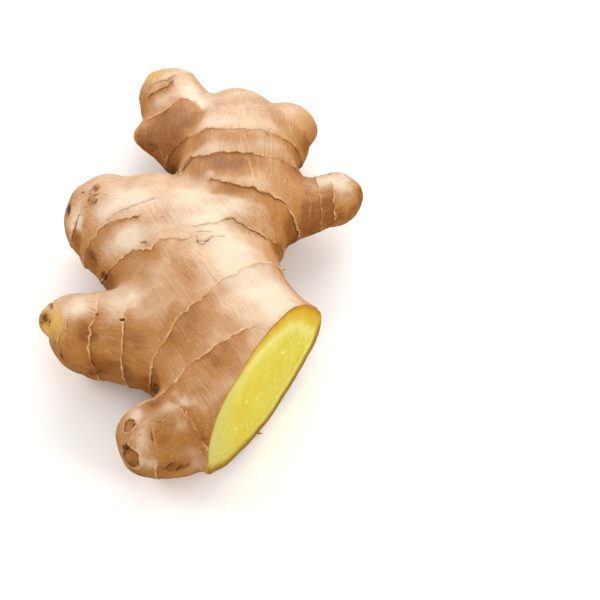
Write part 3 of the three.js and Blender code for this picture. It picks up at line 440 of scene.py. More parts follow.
def spot_r(p, c, e1, e2):
    c, e1, e2 = map(np.array, (c, e1, e2))
    l1, l2 = np.linalg.norm(e1), np.linalg.norm(e2)
    e2 = e2 - e1 * (e2 @ e1) / l1 ** 2 * 0.5
    rel = p - c
    g11, g12, g22 = e1 @ e1, e1 @ e2, e2 @ e2
    b1, b2 = rel @ e1, rel @ e2
    det = g11 * g22 - g12 * g12
    al, be = (g22 * b1 - g12 * b2) / det, (g11 * b2 - g12 * b1) / det
    h = np.linalg.norm(rel - al[:, None] * e1 - be[:, None] * e2, axis=1)
    return np.sqrt(al ** 2 + be ** 2 + (h / (0.7 * min(l1, l2) + 2.0)) ** 2)


def weights(p):
    d = finger_d(p)
    e = np.exp(-(d - d.min(1)[:, None]) / BLEND)
    return e / e.sum(1)[:, None]


def near_mark(p):
    """How close a point is to a ring, stroke or scar, in mm."""
    best = np.full(len(p), 9.0)
    look = np.where((p[:, 2] > 2.5) & (p @ NRM < CUT_AT + 2))[0]
    if not len(look):
        return best
    q = p[look]
    own = weights(q)
    b = best[look]
    for r in RINGS:
        use = np.where(np.abs((q - r[2]) @ (np.array(r[3]) / np.linalg.norm(r[3]))) < 9)[0]
        if len(use):
            g, th, m, n, seed = ring_xy(q[use], r, own[use])
            b[use] = np.where(m > 0.05, np.minimum(b[use], np.abs(g)), b[use])
    for s in STROKES:
        b = np.minimum(b, seg_dist(q, s[4])[0])
    for s in SPOTS:
        if s[1] in ("dark", "oval", "pit", "rough", "bud"):
            b = np.minimum(b, np.where(spot_r(q, *s[4:7]) < 1.3, 0.0, 9.0))
    best[look] = b
    return best


# ---------------------------------------------------------------- closed mesh of the skin
def surface_nets():
    ch = np.vstack(CHAINS)
    lo = (ch[:, :3] - ch[:, 3:]).min(0) - 4
    hi = (ch[:, :3] + ch[:, 3:]).max(0) + 4
    n = np.ceil((hi - lo) / CELL).astype(int) + 2
    ax = [lo[i] + CELL * np.arange(n[i]) for i in range(3)]
    P = np.stack(np.meshgrid(*ax, indexing="ij"), -1).reshape(-1, 3)
    f = skin(P).reshape(n)
    ins = f < 0
    E = np.array([[a, b, c] for a in (0, 1) for b in (0, 1) for c in (0, 1)])
    cor = [f[e[0]:n[0] - 1 + e[0], e[1]:n[1] - 1 + e[1], e[2]:n[2] - 1 + e[2]] for e in E]
    acc = np.zeros(tuple(n - 1) + (3,))
    cnt = np.zeros(tuple(n - 1))
    for a in range(8):
        for b in range(a + 1, 8):
            if np.abs(E[a] - E[b]).sum() != 1:
                continue
            va, vb = cor[a], cor[b]
            cr = (va < 0) != (vb < 0)
            t = np.where(cr, va / np.where(cr, va - vb, 1), 0)
            acc += np.where(cr[..., None], E[a] + (E[b] - E[a]) * t[..., None], 0)
            cnt += cr
    use = cnt > 0
    idx = np.full(use.shape, -1)
    idx[use] = np.arange(use.sum())
    cell = np.stack(np.nonzero(use), -1)
    V = lo + CELL * (cell + acc[use] / cnt[use][:, None])
    quads = []
    for d in range(3):
        u, w = (d + 1) % 3, (d + 2) % 3
        sl0, sl1 = [slice(1, -1)] * 3, [slice(1, -1)] * 3
        sl0[d], sl1[d] = slice(0, -1), slice(1, None)
        a, b = ins[tuple(sl0)], ins[tuple(sl1)]
        g = np.stack(np.nonzero(a != b), -1)
        for q in range(3):
            if q != d:
                g[:, q] += 1
        fl = ins[tuple(g.T)]
        def cellid(du, dw):
            h = g.copy()
            h[:, u] -= du
            h[:, w] -= dw
            return idx[tuple(h.T)]
        q4 = np.stack([cellid(1, 1), cellid(0, 1), cellid(0, 0), cellid(1, 0)], 1)
        q4[~fl] = q4[~fl][:, ::-1]
        quads.append(q4)
    Q = np.vstack(quads)
    d1 = np.linalg.norm(V[Q[:, 0]] - V[Q[:, 2]], axis=1)
    d2 = np.linalg.norm(V[Q[:, 1]] - V[Q[:, 3]], axis=1)
    s = d1 <= d2
    T = np.vstack([Q[s][:, [0, 1, 2]], Q[s][:, [0, 2, 3]], Q[~s][:, [0, 1, 3]], Q[~s][:, [1, 2, 3]]])
    return V, T


def edges_of(T):
    e = np.sort(np.vstack([T[:, [0, 1]], T[:, [1, 2]], T[:, [2, 0]]]), axis=1)
    u, inv = np.unique(e, axis=0, return_inverse=True)
    inv = inv.reshape(-1)
    n = len(T)
    return u, inv[:n], inv[n:2 * n], inv[2 * n:]


def relax(V, T, rounds, part=0.5, steps=1):
    for _ in range(rounds):
        e = edges_of(T)[0]
        s = np.zeros_like(V)
        c = np.zeros(len(V))
        for a, b in ((0, 1), (1, 0)):
            np.add.at(s, e[:, a], V[e[:, b]])
            np.add.at(c, e[:, a], 1)
        V = onto(V + (s / c[:, None] - V) * part, steps)
    return V


def refine(V, T, near):
    e, i0, i1, i2 = edges_of(T)
    mid = (V[e[:, 0]] + V[e[:, 1]]) / 2
    L = np.linalg.norm(V[e[:, 0]] - V[e[:, 1]], axis=1)
    mark = L > wanted(mid, L, np.minimum(near[e[:, 0]], near[e[:, 1]]))
    num = np.full(len(e), -1)
    num[mark] = len(V) + np.arange(mark.sum())
    new = onto(mid[mark], 1)
    V = np.vstack([V, new])
    near = np.concatenate([near, near_mark(new)])
    M = np.stack([num[i0], num[i1], num[i2]], 1)     # on edges 01, 12, 20
    k = (M >= 0).sum(1)
    out = [T[k == 0]]
    t, m = T[k == 1], M[k == 1]
    r = np.argmax(m >= 0, 1)
    t = np.take_along_axis(t, (r[:, None] + np.arange(3)) % 3, 1)
    m = np.take_along_axis(m, (r[:, None] + np.arange(3)) % 3, 1)
    out += [np.stack([t[:, 0], m[:, 0], t[:, 2]], 1), np.stack([m[:, 0], t[:, 1], t[:, 2]], 1)]
    t, m = T[k == 2], M[k == 2]
    r = (np.argmax(m < 0, 1) + 1) % 3
    t = np.take_along_axis(t, (r[:, None] + np.arange(3)) % 3, 1)
    m = np.take_along_axis(m, (r[:, None] + np.arange(3)) % 3, 1)
    out.append(np.stack([m[:, 0], t[:, 1], m[:, 1]], 1))
    s = np.linalg.norm(V[t[:, 0]] - V[m[:, 1]], axis=1) <= np.linalg.norm(V[m[:, 0]] - V[t[:, 2]], axis=1)
    out += [np.stack([t[s, 0], m[s, 0], m[s, 1]], 1), np.stack([t[s, 0], m[s, 1], t[s, 2]], 1)]
    s = ~s
    out += [np.stack([t[s, 0], m[s, 0], t[s, 2]], 1), np.stack([m[s, 0], m[s, 1], t[s, 2]], 1)]
    t, m = T[k == 3], M[k == 3]
    out += [np.stack([t[:, 0], m[:, 0], m[:, 2]], 1), np.stack([m[:, 0], t[:, 1], m[:, 1]], 1),
            np.stack([m[:, 2], m[:, 1], t[:, 2]], 1), m.copy()]
    return V, np.vstack(out), near


def wanted(mid, L, near):
    out = np.full(len(mid), PLAIN)
    out[mid[:, 2] < 5.0] = UNDER
    d = mid @ NRM - CUT_AT
    out[near < np.maximum(1.0, 0.6 * L)] = 0.5 * (PLAIN + FINE)
    out[near < np.maximum(0.5, 0.5 * L)] = FINE
    out[np.abs(d) < 1.0] = 0.5
    out[d > 2] = 3.0
    return out


def clip(V, T):
    """Leaves the root's side of the knife's plane, with a clean edge on it."""
    d = V @ NRM - CUT_AT
    for _ in range(3):
        s = np.abs(d) < 0.14
        g = slope(V[s])
        g /= np.linalg.norm(g, axis=1)[:, None]
        c = g @ NRM
        t = NRM - g * c[:, None]
        V[s] -= t * (d[s] / np.maximum(1 - c * c, 0.2))[:, None]
        f, g = skin_slope(V[s])
        V[s] = V[s] - g * f[:, None]
        V[s] -= NRM * (V[s] @ NRM - CUT_AT)[:, None]
        d[s] = 0
    sg = np.sign(np.where(np.abs(d) < 1e-9, 0, d)).astype(int)
    ts = sg[T]
    keep = T[(ts <= 0).all(1) & (ts < 0).any(1)]
    cross = T[(ts > 0).any(1) & (ts < 0).any(1)]
    new, made, out = [], {}, []
    def cutpoint(a, b):
        key = (a, b) if a < b else (b, a)
        if key not in made:
            t = d[a] / (d[a] - d[b])
            made[key] = len(V) + len(new)
            new.append(V[a] + (V[b] - V[a]) * t)
        return made[key]
    for tri in cross:
        poly = []
        for i in range(3):
            a, b = int(tri[i]), int(tri[(i + 1) % 3])
            if sg[a] <= 0:
                poly.append(a)
            if sg[a] * sg[b] < 0:
                poly.append(cutpoint(a, b))
        for i in range(1, len(poly) - 1):
            out.append([poly[0], poly[i], poly[i + 1]])
    new = np.array(new)
    for _ in range(2):
        g = slope(new)
        g /= np.linalg.norm(g, axis=1)[:, None]
        g -= NRM * (g @ NRM)[:, None]
        l = np.linalg.norm(g, axis=1)
        new = new - g * (skin(new) / l ** 2)[:, None]
    V = np.vstack([V, new])
    T = np.vstack([keep, np.array(out)])
    used, inv = np.unique(T, return_inverse=True)
    return V[used], inv.reshape(-1, 3)


def rim_loop(T):
    e = np.vstack([T[:, [0, 1]], T[:, [1, 2]], T[:, [2, 0]]])
    have = set(map(tuple, e.tolist()))
    nxt = {a: b for a, b in have if (b, a) not in have}
    start = next(iter(nxt))
    loop = [start]
    while nxt[loop[-1]] != start:
        loop.append(nxt[loop[-1]])
    if len(loop) != len(nxt):
        raise RuntimeError("the cut has more than one edge loop: %d of %d" % (len(loop), len(nxt)))
    return loop


# ---------------------------------------------------------------- relief and tone at each point
DIRS = [np.array([0.0, 1.0, 0.0]), np.array([-0.88, 0.47, 0.0]), np.array([-0.47, 0.88, 0.0]), np.array([0.82, 0.57, 0.0])]
RUNS = {"head": 0, "top_mid": 0, "top_left": 2, "side_left": 1, "top_right": 3, "trunk": 0, "right": 3, "body": 2,
        "left_top": 1, "left_low": 1, "left_mid": 1, "low_left": 3, "core": 2, "cut_end": 2}


def run_weights(p, own):
    w = np.zeros((len(p), 4))
    for i, n in enumerate(NAMES):
        w[:, RUNS[n]] += own[:, i]
    low = own[:, NAMES.index("trunk")] * (1 - step01(p[:, 1], 14, 34))
    w[:, 0] -= low
    w[:, 2] += low
    w = np.clip(w, 0, None) ** 1.3
    return w / w.sum(1)[:, None]


def streak(p, w, across, along, seed):
    out = 0
    for k, d in enumerate(DIRS):
        s = np.array([-d[1], d[0], 0])
        q = np.stack([p @ d / along, p @ s / across, p[:, 2] / across], 1)
        out = out + w[:, k] * noise(q + k * 17.3, seed)
    return out


def relief(p, nrm, own):
    n = len(p)
    rise = np.zeros(n)
    cream, dark, tan, pale, yellow = (np.zeros(n) for _ in range(5))
    w = run_weights(p, own)
    rag = noise(p * 0.62, 3)
    fine = noise(p * 1.7, 4)
    broad = noise(p * 0.10, 5)
    patch = noise(p * 0.22, 6)
    for ring in RINGS:
        a, b, k, br, L = ring[5]
        use = np.where(np.abs((p - ring[2]) @ (np.array(ring[3]) / np.linalg.norm(ring[3]))) < 24)[0]
        g, th, m, rn, seed = ring_xy(p[use], ring, own[use])
        keep = m > 0.004
        use, g, th, m = use[keep], g[keep], th[keep], m[keep]
        x = (g + 0.60 * rag[use] + 0.22 * fine[use]) / np.sqrt(np.clip(1 - (nrm[use] @ rn) ** 2, 0.14, 1))
        along = noise(np.stack([th / 13.0, th * 0 + 3.1, th * 0 + 7.7], 1), seed + 1)
        slow = noise(np.stack([th / 34.0, th * 0 + 1.1, th * 0 + 2.7], 1), seed + 2)
        v = np.clip(0.75 + 1.3 * along, 0.08, 1.5)
        up = 0.5 * (1 - np.tanh(x / 0.18))
        line = k * np.clip(0.75 + 1.3 * along, 0.05, 1.3)
        ridge = np.exp(-((x + 0.08) / 0.26) ** 2)
        groove = np.exp(-((x - 0.30) / 0.20) ** 2)
        lift = np.clip(0.9 + 0.5 * slow, 0.4, 1.4)
        rise[use] += m * (a * v * ridge - 0.20 * line * groove
                          + b * lift * (up * np.exp(np.minimum(x, 0) / 3.2) - 0.45 * (1 - up) * np.exp(-np.maximum(x, 0) / 2.2)))
        cream[use] += m * (min(1.1, 0.25 + 3.6 * a) * v * ridge + 0.20 * up * np.exp(np.minimum(x, 0) / 1.3))
        # dark line in the groove: dark scale remains and painted shadow under the raised edge
        dark[use] += m * line * groove
        # brown below the edge: brown skin and painted shade under the overlapping scale
        tan[use] += m * br * ((1 - up) * np.exp(-(np.maximum(x, 0) / L) ** 1.3) * np.clip(0.85 + 1.1 * slow + 0.5 * patch[use], 0.05, 1.4)
                              + 0.15 * up * np.exp(np.minimum(x, 0) / 1.2))
    for name, wd, h, tone, pts in STROKES:
        d, at = seg_dist(p, pts)
        use = np.where(d < 4 * wd + 1)[0]
        d, at = np.abs(d[use] + 0.10 * fine[use]), at[use]
        e = np.exp(-(d / wd) ** 2) * np.clip(4 * np.minimum(at, 1 - at), 0.25, 1)
        rise[use] += h * e
        if tone > 0:
            cream[use] += tone * e
            dark[use] += 0.35 * tone * np.exp(-((d - 2.1 * wd) / (0.7 * wd)) ** 2) * (fine[use] > -0.1)
        else:
            dark[use] += -tone * e
    for name, kind, st, dep, c, e1, e2 in SPOTS:
        size = min(np.linalg.norm(e1), np.linalg.norm(e2))
        use = np.where(np.linalg.norm(p - c, axis=1) < 3.0 * max(np.linalg.norm(e1), np.linalg.norm(e2)))[0]
        q = p[use]
        r = spot_r(q, c, e1, e2)
        r = r + 0.28 * noise(q * (0.9 / size), 21) + 0.12 * noise(q * (2.4 / size), 22)
        soft = np.exp(-1.1 * r ** 2)
        hard = 1 - step01(r, 0.62, 1.05)
        ff = fine[use]
        if kind == "dark":
            dark[use] += st * hard * np.clip(0.8 + 0.8 * ff, 0.3, 1)
            tan[use] += 0.8 * st * soft
            rise[use] += dep * hard * 0.8
        elif kind == "tan":
            tan[use] += st * soft
            rise[use] += dep * hard
        elif kind == "pale":
            pale[use] += st * soft
            tan[use] -= 0.6 * st * soft
        elif kind == "yellow":
            yellow[use] += st * np.exp(-0.9 * r ** 2)
        elif kind == "pit":
            rise[use] += dep * (1 - step01(r, 0.3, 0.95)) + 0.28 * np.exp(-((r - 1.25) / 0.25) ** 2)
            dark[use] += (1 - step01(r, 0.4, 1.0))
            cream[use] += 0.8 * np.exp(-((r - 1.3) / 0.25) ** 2)
        elif kind == "rough":
            rise[use] += 0.16 * (1 - step01(r, 0.7, 1.2)) * noise(q * 1.1, 23)
            tan[use] += 0.4 * soft
        elif kind == "bud":
            m = 1 - step01(r + 0.35 * noise(q * 0.45, 27), 0.25, 1.25)
            n1, n2 = noise(q * 0.75, 24), noise(q * 1.9, 25)
            rise[use] += m * (dep + 0.34 * n1 + 0.16 * n2)
            dark[use] += st * m * (0.9 * np.clip(1 - 7 * np.abs(n1), 0, 1) + 0.5 * np.clip(0.1 + n2, 0, 1))
            tan[use] += m * (0.25 + 0.7 * st + 0.6 * n1)
        elif kind == "oval":
            edge = np.exp(-((r - 0.80) / 0.13) ** 2)
            halo = np.exp(-((r - 1.08) / 0.17) ** 2)
            rise[use] += dep * halo - 0.45 * (1 - step01(r, 0.45, 0.85)) + 0.22 * (1 - step01(r, 0.2, 0.8)) * noise(q * 0.9, 26)
            dark[use] += 0.95 * st * edge * np.clip(0.75 + 1.5 * ff, 0, 1.2)
            tan[use] += 0.75 * st * (1 - step01(r, 0.7, 0.95))
            cream[use] += 0.75 * halo * np.clip(0.8 + ff, 0, 1)
    s1 = streak(p, w, 2.6, 17.0, 31)
    s2 = streak(p, w, 1.25, 9.0, 32)
    rise += 0.26 * noise(p / 9.0, 41) + 0.10 * noise(p / 3.4, 42) + 0.12 * s1 + 0.05 * s2
    # painted shade: flanks turned away from the main light get browner; painted highlight: tops turned to it get paler
    lit = nrm @ np.array([-0.10, 0.42, 0.90])
    tan += 0.16 * broad + 0.15 * patch + 0.42 * (1 - step01(lit, -0.10, 0.85))
    pale += (0.46 + 0.30 * patch) * step01(lit, 0.60, 0.97)
    return rise, dict(cream=cream, dark=dark, tan=tan, pale=pale, yellow=yellow), w


TIP = NRM * CUT_AT - TAN * 54.4 + np.array([0, 0, 15.9])
TIP_WAY = np.array([0, 0, -0.5]) - TAN * 1.65
LIP = NRM * CUT_AT - TAN * 53.6 + np.array([0, 0, 14.0])


def build():
    V, T = surface_nets()
    V = relax(V, T, 3, 0.5, 2)
    near = near_mark(V)
    for r in range(5):
        n0 = len(V)
        V, T, near = refine(V, T, near)
        if r < 2:
            V = relax(V, T, 1, 0.35)
        if len(V) - n0 < 200:
            break
    V = relax(V, T, 1, 0.4)
    V, T = clip(V, T)
    nrm = slope(V)
    nrm /= np.linalg.norm(nrm, axis=1)[:, None]
    own = weights(V)
    rise, tone, w = relief(V, nrm, own)
    d = CUT_AT - V @ NRM
    rise = rise * step01(d, 0.0, 1.8) + 0.22 * noise(V / 9.0, 41) * (1 - step01(d, 0.0, 1.8))
    loop = rim_loop(T)
    on_rim = np.zeros(len(V), bool)
    on_rim[loop] = True
    step = nrm * rise[:, None]
    # the cut's edge stays in the knife's plane; the skin rolls in a little just before it
    roll = np.exp(-np.clip(d, 0, None) / 0.35)
    step -= nrm * (0.16 * roll)[:, None]
    # the lower end of the cut runs out to a point
    low = np.exp(-np.sum((V - TIP) ** 2, axis=1) / 3.0 ** 2)
    step += (TIP_WAY - NRM * (TIP_WAY @ NRM)) * low[:, None]
    step[:, 2] -= 2.1 * np.exp(-np.sum((V - LIP) ** 2, axis=1) / 4.5 ** 2)
    step[on_rim] -= NRM * (step[on_rim] @ NRM)[:, None]
    P = V + step
    P[~on_rim] -= NRM * np.clip(P[~on_rim] @ NRM - (CUT_AT - 0.02), 0, None)[:, None]
    P[:, 2] = np.maximum(P[:, 2], 0.0)
    return P, T, nrm, tone, w, loop


def cap(P, loop):
    """The cut face: its own points inside the rim, closer together near the skin."""
    ring = P[loop]
    o = ring.mean(0)
    xy = np.stack([(ring - o) @ TAN, ring[:, 2]], 1)
    nxt = np.roll(xy, -1, 0)
    tang = np.roll(xy, -1, 0) - np.roll(xy, 1, 0)
    tang /= np.linalg.norm(tang, axis=1)[:, None] + 1e-9
    area = 0.5 * np.sum(xy[:, 0] * nxt[:, 1] - nxt[:, 0] * xy[:, 1])
    inw = np.stack([-tang[:, 1], tang[:, 0]], 1) * (1 if area > 0 else -1)
    lo, hi = xy.min(0), xy.max(0)

    def depth(q, side=False):
        best, low, gold = (np.full(len(q), 1e9) for _ in range(3))
        for i in range(len(xy)):
            a, b = xy[i], nxt[i]
            ba = b - a
            t = np.clip((q - a) @ ba / (ba @ ba + 1e-12), 0, 1)
            far = np.linalg.norm(q - a - t[:, None] * ba, axis=1)
            best = np.minimum(best, far)
            gold = np.minimum(gold, far / (1 + 1.2 * np.clip(-inw[i, 1], 0, 1)))
            if inw[i, 1] > 0.3:
                low = np.minimum(low, far)
        return (best, low, gold) if side else best

    pts = []
    for dd, sk in ((0.22, 1), (0.5, 1), (0.85, 2), (1.35, 2), (2.0, 3)):
        q = (xy + inw * dd)[::sk]
        q = q[depth(q) > dd * 0.93]
        pts.append(q)
    h = 1.0
    gx, gy = np.meshgrid(np.arange(lo[0], hi[0], h), np.arange(lo[1], hi[1], h * 0.866))
    gx = gx + (np.arange(gx.shape[0]) % 2)[:, None] * h * 0.5
    q = np.stack([gx.ravel(), gy.ravel()], 1)
    # inside test by crossing number
    ins = np.zeros(len(q), bool)
    for a, b in zip(xy, nxt):
        c = (a[1] > q[:, 1]) != (b[1] > q[:, 1])
        xx = a[0] + (q[:, 1] - a[1]) / (b[1] - a[1] if abs(b[1] - a[1]) > 1e-12 else 1e-12) * (b[0] - a[0])
        ins ^= c & (q[:, 0] < xx)
    q = q[ins]
    q = q[depth(q) > 2.5]
    pts.append(q)
    q = np.vstack(pts)
    n = len(xy)
    allp = [Vector((float(a), float(b))) for a, b in np.vstack([xy, q])]
    vo, _, fo, ov, _, _ = delaunay_2d_cdt(allp, [(i, (i + 1) % n) for i in range(n)], [list(range(n))], 1, 1e-6)
    at = np.array([[v.x, v.y] for v in vo])
    src = [o_[0] if o_ else -1 for o_ in ov]
    used = sorted({i for f in fo for i in f})
    return at, fo, src, used, o, depth, n


# splinters of torn skin: foot, tip, outward, half width, half thickness
TORN = [((15.30, -41.30, 1.30), (16.95, -41.10, 0.40), (0, 0, 1), 0.42, 0.15),
        ((22.20, 1.60, 24.90), (23.55, 2.95, 23.75), (1, 0, 1), 0.30, 0.11)]


def sliver(base, tip, up, wide, thick, n=7):
    """A curled splinter of torn skin: closed, its foot sunk in the root."""
    base, tip, up = map(np.array, (base, tip, up))
    d = tip - base
    s = np.cross(d, up)
    s = s / np.linalg.norm(s)
    u = np.cross(s, d)
    u = u / np.linalg.norm(u)
    pts, tri = [], []
    for i in range(n):
        t = i / (n - 1)
        c = base + d * t + u * (np.linalg.norm(d) * 0.22 * t * t)
        r = (1 - t) ** 0.6 * (1 + 0.25 * np.sin(5 * t)) + 0.05
        for k in range(6):
            a = k * np.pi / 3
            pts.append(c + s * (wide * r * np.cos(a)) + u * (thick * r * np.sin(a)))
    for i in range(n - 1):
        for k in range(6):
            a, b, c, e = i * 6 + k, i * 6 + (k + 1) % 6, (i + 1) * 6 + k, (i + 1) * 6 + (k + 1) % 6
            tri += [[a, c, b], [b, c, e]]
    m = (n - 1) * 6
    tri += [[0, k, k + 1] for k in range(1, 5)] + [[m, m + k + 1, m + k] for k in range(1, 5)]
    pts, tri = np.array(pts), np.array(tri)
    mid = pts.mean(0)
    v = pts[tri]
    if np.einsum("ij,ij->", np.cross(v[:, 1] - v[:, 0], v[:, 2] - v[:, 0]), v.mean(1) - mid) < 0:
        tri = tri[:, ::-1]
    return pts, tri


P, T, NV, tone, runs, loop = build()
at, cap_faces, src, used, o, depth, nrim = cap(P, loop)
index, extra = {}, []
for i in used:
    if 0 <= src[i] < nrim:
        index[i] = loop[src[i]]
    else:
        index[i] = len(P) + len(extra)
        extra.append(i)
q = at[extra]
deep, low_d, gold_d = depth(q, True)
pc = o + TAN * q[:, :1]
pc[:, 2] = q[:, 1]
pc += NRM * (CUT_AT - (o @ NRM))
saw = 0.035 * np.sin(q[:, 0] * 0.9 + 0.35 * q[:, 1] + 1.2 * np.sin(q[:, 1] * 0.3)) + 0.10 * noise(np.stack([q[:, 0] / 5, q[:, 1] / 5, q[:, 0] * 0 + 0.4], 1), 51) + 0.05 * noise(np.stack([q[:, 0] / 1.6, q[:, 1] / 1.6, q[:, 0] * 0 + 0.9], 1), 52)
sink = -0.10 + np.clip(saw, -0.12, 0.09)
pc += NRM * (sink * step01(deep, 0.1, 1.4))[:, None]
torn_p, torn_t = [], []
for row in TORN:
    sp, st = sliver(*row)
    torn_t.append(st + len(P) + len(pc) + sum(map(len, torn_p)))
    torn_p.append(sp)
torn_p, torn_t = np.vstack(torn_p), np.vstack(torn_t)
allP = np.vstack([P, pc, torn_p])
fc = np.array([[index[i] for i in f] for f in cap_faces])
c0 = allP[fc[:, 0]]
fn = np.cross(allP[fc[:, 1]] - c0, allP[fc[:, 2]] - c0) @ NRM
fc[fn < 0] = fc[fn < 0][:, ::-1]
faces = np.vstack([T, torn_t, fc])
print("skin triangles", len(T), "cut triangles", len(fc))

me = bpy.data.meshes.new("ginger_root")
co = (allP - BASE) / 1000.0
me.vertices.add(len(co))
me.vertices.foreach_set("co", co.ravel())
me.loops.add(len(faces) * 3)
me.loops.foreach_set("vertex_index", faces.ravel().astype(np.int32))
me.polygons.add(len(faces))
me.polygons.foreach_set("loop_start", np.arange(0, len(faces) * 3, 3, dtype=np.int32))
me.polygons.foreach_set("material_index", np.concatenate([np.zeros(len(T) + len(torn_t)), np.ones(len(fc))]).astype(np.int32))
me.update(calc_edges=True)
me.validate()
me.shade_smooth()
ev = np.empty(len(me.edges) * 2, np.int32)
me.edges.foreach_get("vertices", ev)
ev = np.sort(ev.reshape(-1, 2), axis=1)
rim_e = {tuple(sorted((loop[i], loop[(i + 1) % len(loop)]))) for i in range(len(loop))}
sharp = np.array([tuple(e) in rim_e for e in ev.tolist()])
att = me.attributes.new("sharp_edge", "BOOLEAN", "EDGE") if "sharp_edge" not in me.attributes else me.attributes["sharp_edge"]
att.data.foreach_set("value", sharp)


def give(name, skinv, capv=0.0, tornv=0.0, top=4.0):
    a = me.attributes.new(name, "FLOAT", "POINT")
    v = np.concatenate([skinv, np.zeros(len(pc)) + capv, np.zeros(len(torn_p)) + tornv]).astype(np.float32)
    a.data.foreach_set("value", np.clip(v, 0, top))


for k, v in tone.items():
    give(k, v, tornv={"dark": 0.35, "tan": 0.9}.get(k, 0.0))
give("deep", np.zeros(len(P)), deep)
give("gold", np.zeros(len(P)), gold_d, top=12.0)
rim_low = np.zeros(len(P)) + 4.0
rim_low[loop] = depth(at[:nrim], True)[1] if len(at) >= nrim else 4.0
give("under", np.clip(rim_low, 0, 4), np.clip(low_d, 0, 4))
give("across", np.zeros(len(P)) + 0.5, (q[:, 0] - q[:, 0].min()) / np.ptp(q[:, 0]))
for k in range(4):
    give("run%d" % k, runs[:, k])

root = bpy.data.objects.new("ginger_root", me)
bpy.context.scene.collection.objects.link(root)
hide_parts("ginger_rhizome")
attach(root, "root")


# ---------------------------------------------------------------- materials
class Net:
    def __init__(self, name):
        self.mat = bpy.data.materials.new(name)
        self.mat.use_nodes = True
        self.t = self.mat.node_tree
        self.t.nodes.clear()
        self.out = self.t.nodes.new("ShaderNodeOutputMaterial")

    def n(self, kind, **kw):
        x = self.t.nodes.new(kind)
        for k, v in kw.items():
            setattr(x, k, v)
        return x

    def put(self, sock, v):
        if v is None:
            return
        if isinstance(v, bpy.types.NodeSocket):
            self.t.links.new(v, sock)
        else:
            sock.default_value = v

    def attr(self, name):
        return self.n("ShaderNodeAttribute", attribute_type="GEOMETRY", attribute_name=name).outputs["Fac"]

    def math(self, op, a, b=None, c=None, clamp=False):
        x = self.n("ShaderNodeMath", operation=op, use_clamp=clamp)
        for s, v in zip(x.inputs, (a, b, c)):
            self.put(s, v)
        return x.outputs[0]

    def mix(self, f, a, b, blend="MIX"):
        x = self.n("ShaderNodeMix", data_type="RGBA", blend_type=blend, clamp_factor=True)
        self.put(x.inputs[0], f)
        self.put(x.inputs[6], a if isinstance(a, bpy.types.NodeSocket) else (*a, 1))
        self.put(x.inputs[7], b if isinstance(b, bpy.types.NodeSocket) else (*b, 1))
        return x.outputs[2]

    def noise(self, vec, scale, detail=2.0, rough=0.5, dist=0.0):
        x = self.n("ShaderNodeTexNoise", noise_dimensions="3D")
        self.put(x.inputs["Vector"], vec)
        x.inputs["Scale"].default_value = scale
        x.inputs["Detail"].default_value = detail
        x.inputs["Roughness"].default_value = rough
        x.inputs["Distortion"].default_value = dist
        return x.outputs["Fac"]

    def range(self, v, a, b, c=0.0, d=1.0, smooth=True):
        x = self.n("ShaderNodeMapRange", interpolation_type="SMOOTHSTEP" if smooth else "LINEAR", clamp=True)
        for s, q in zip(x.inputs, (v, a, b, c, d)):
            self.put(s, q)
        return x.outputs[0]

    def mm(self):
        tc = self.n("ShaderNodeTexCoord")
        s = self.n("ShaderNodeVectorMath", operation="SCALE")
        self.put(s.inputs[0], tc.outputs["Object"])
        s.inputs["Scale"].default_value = 1000.0
        return s.outputs[0]


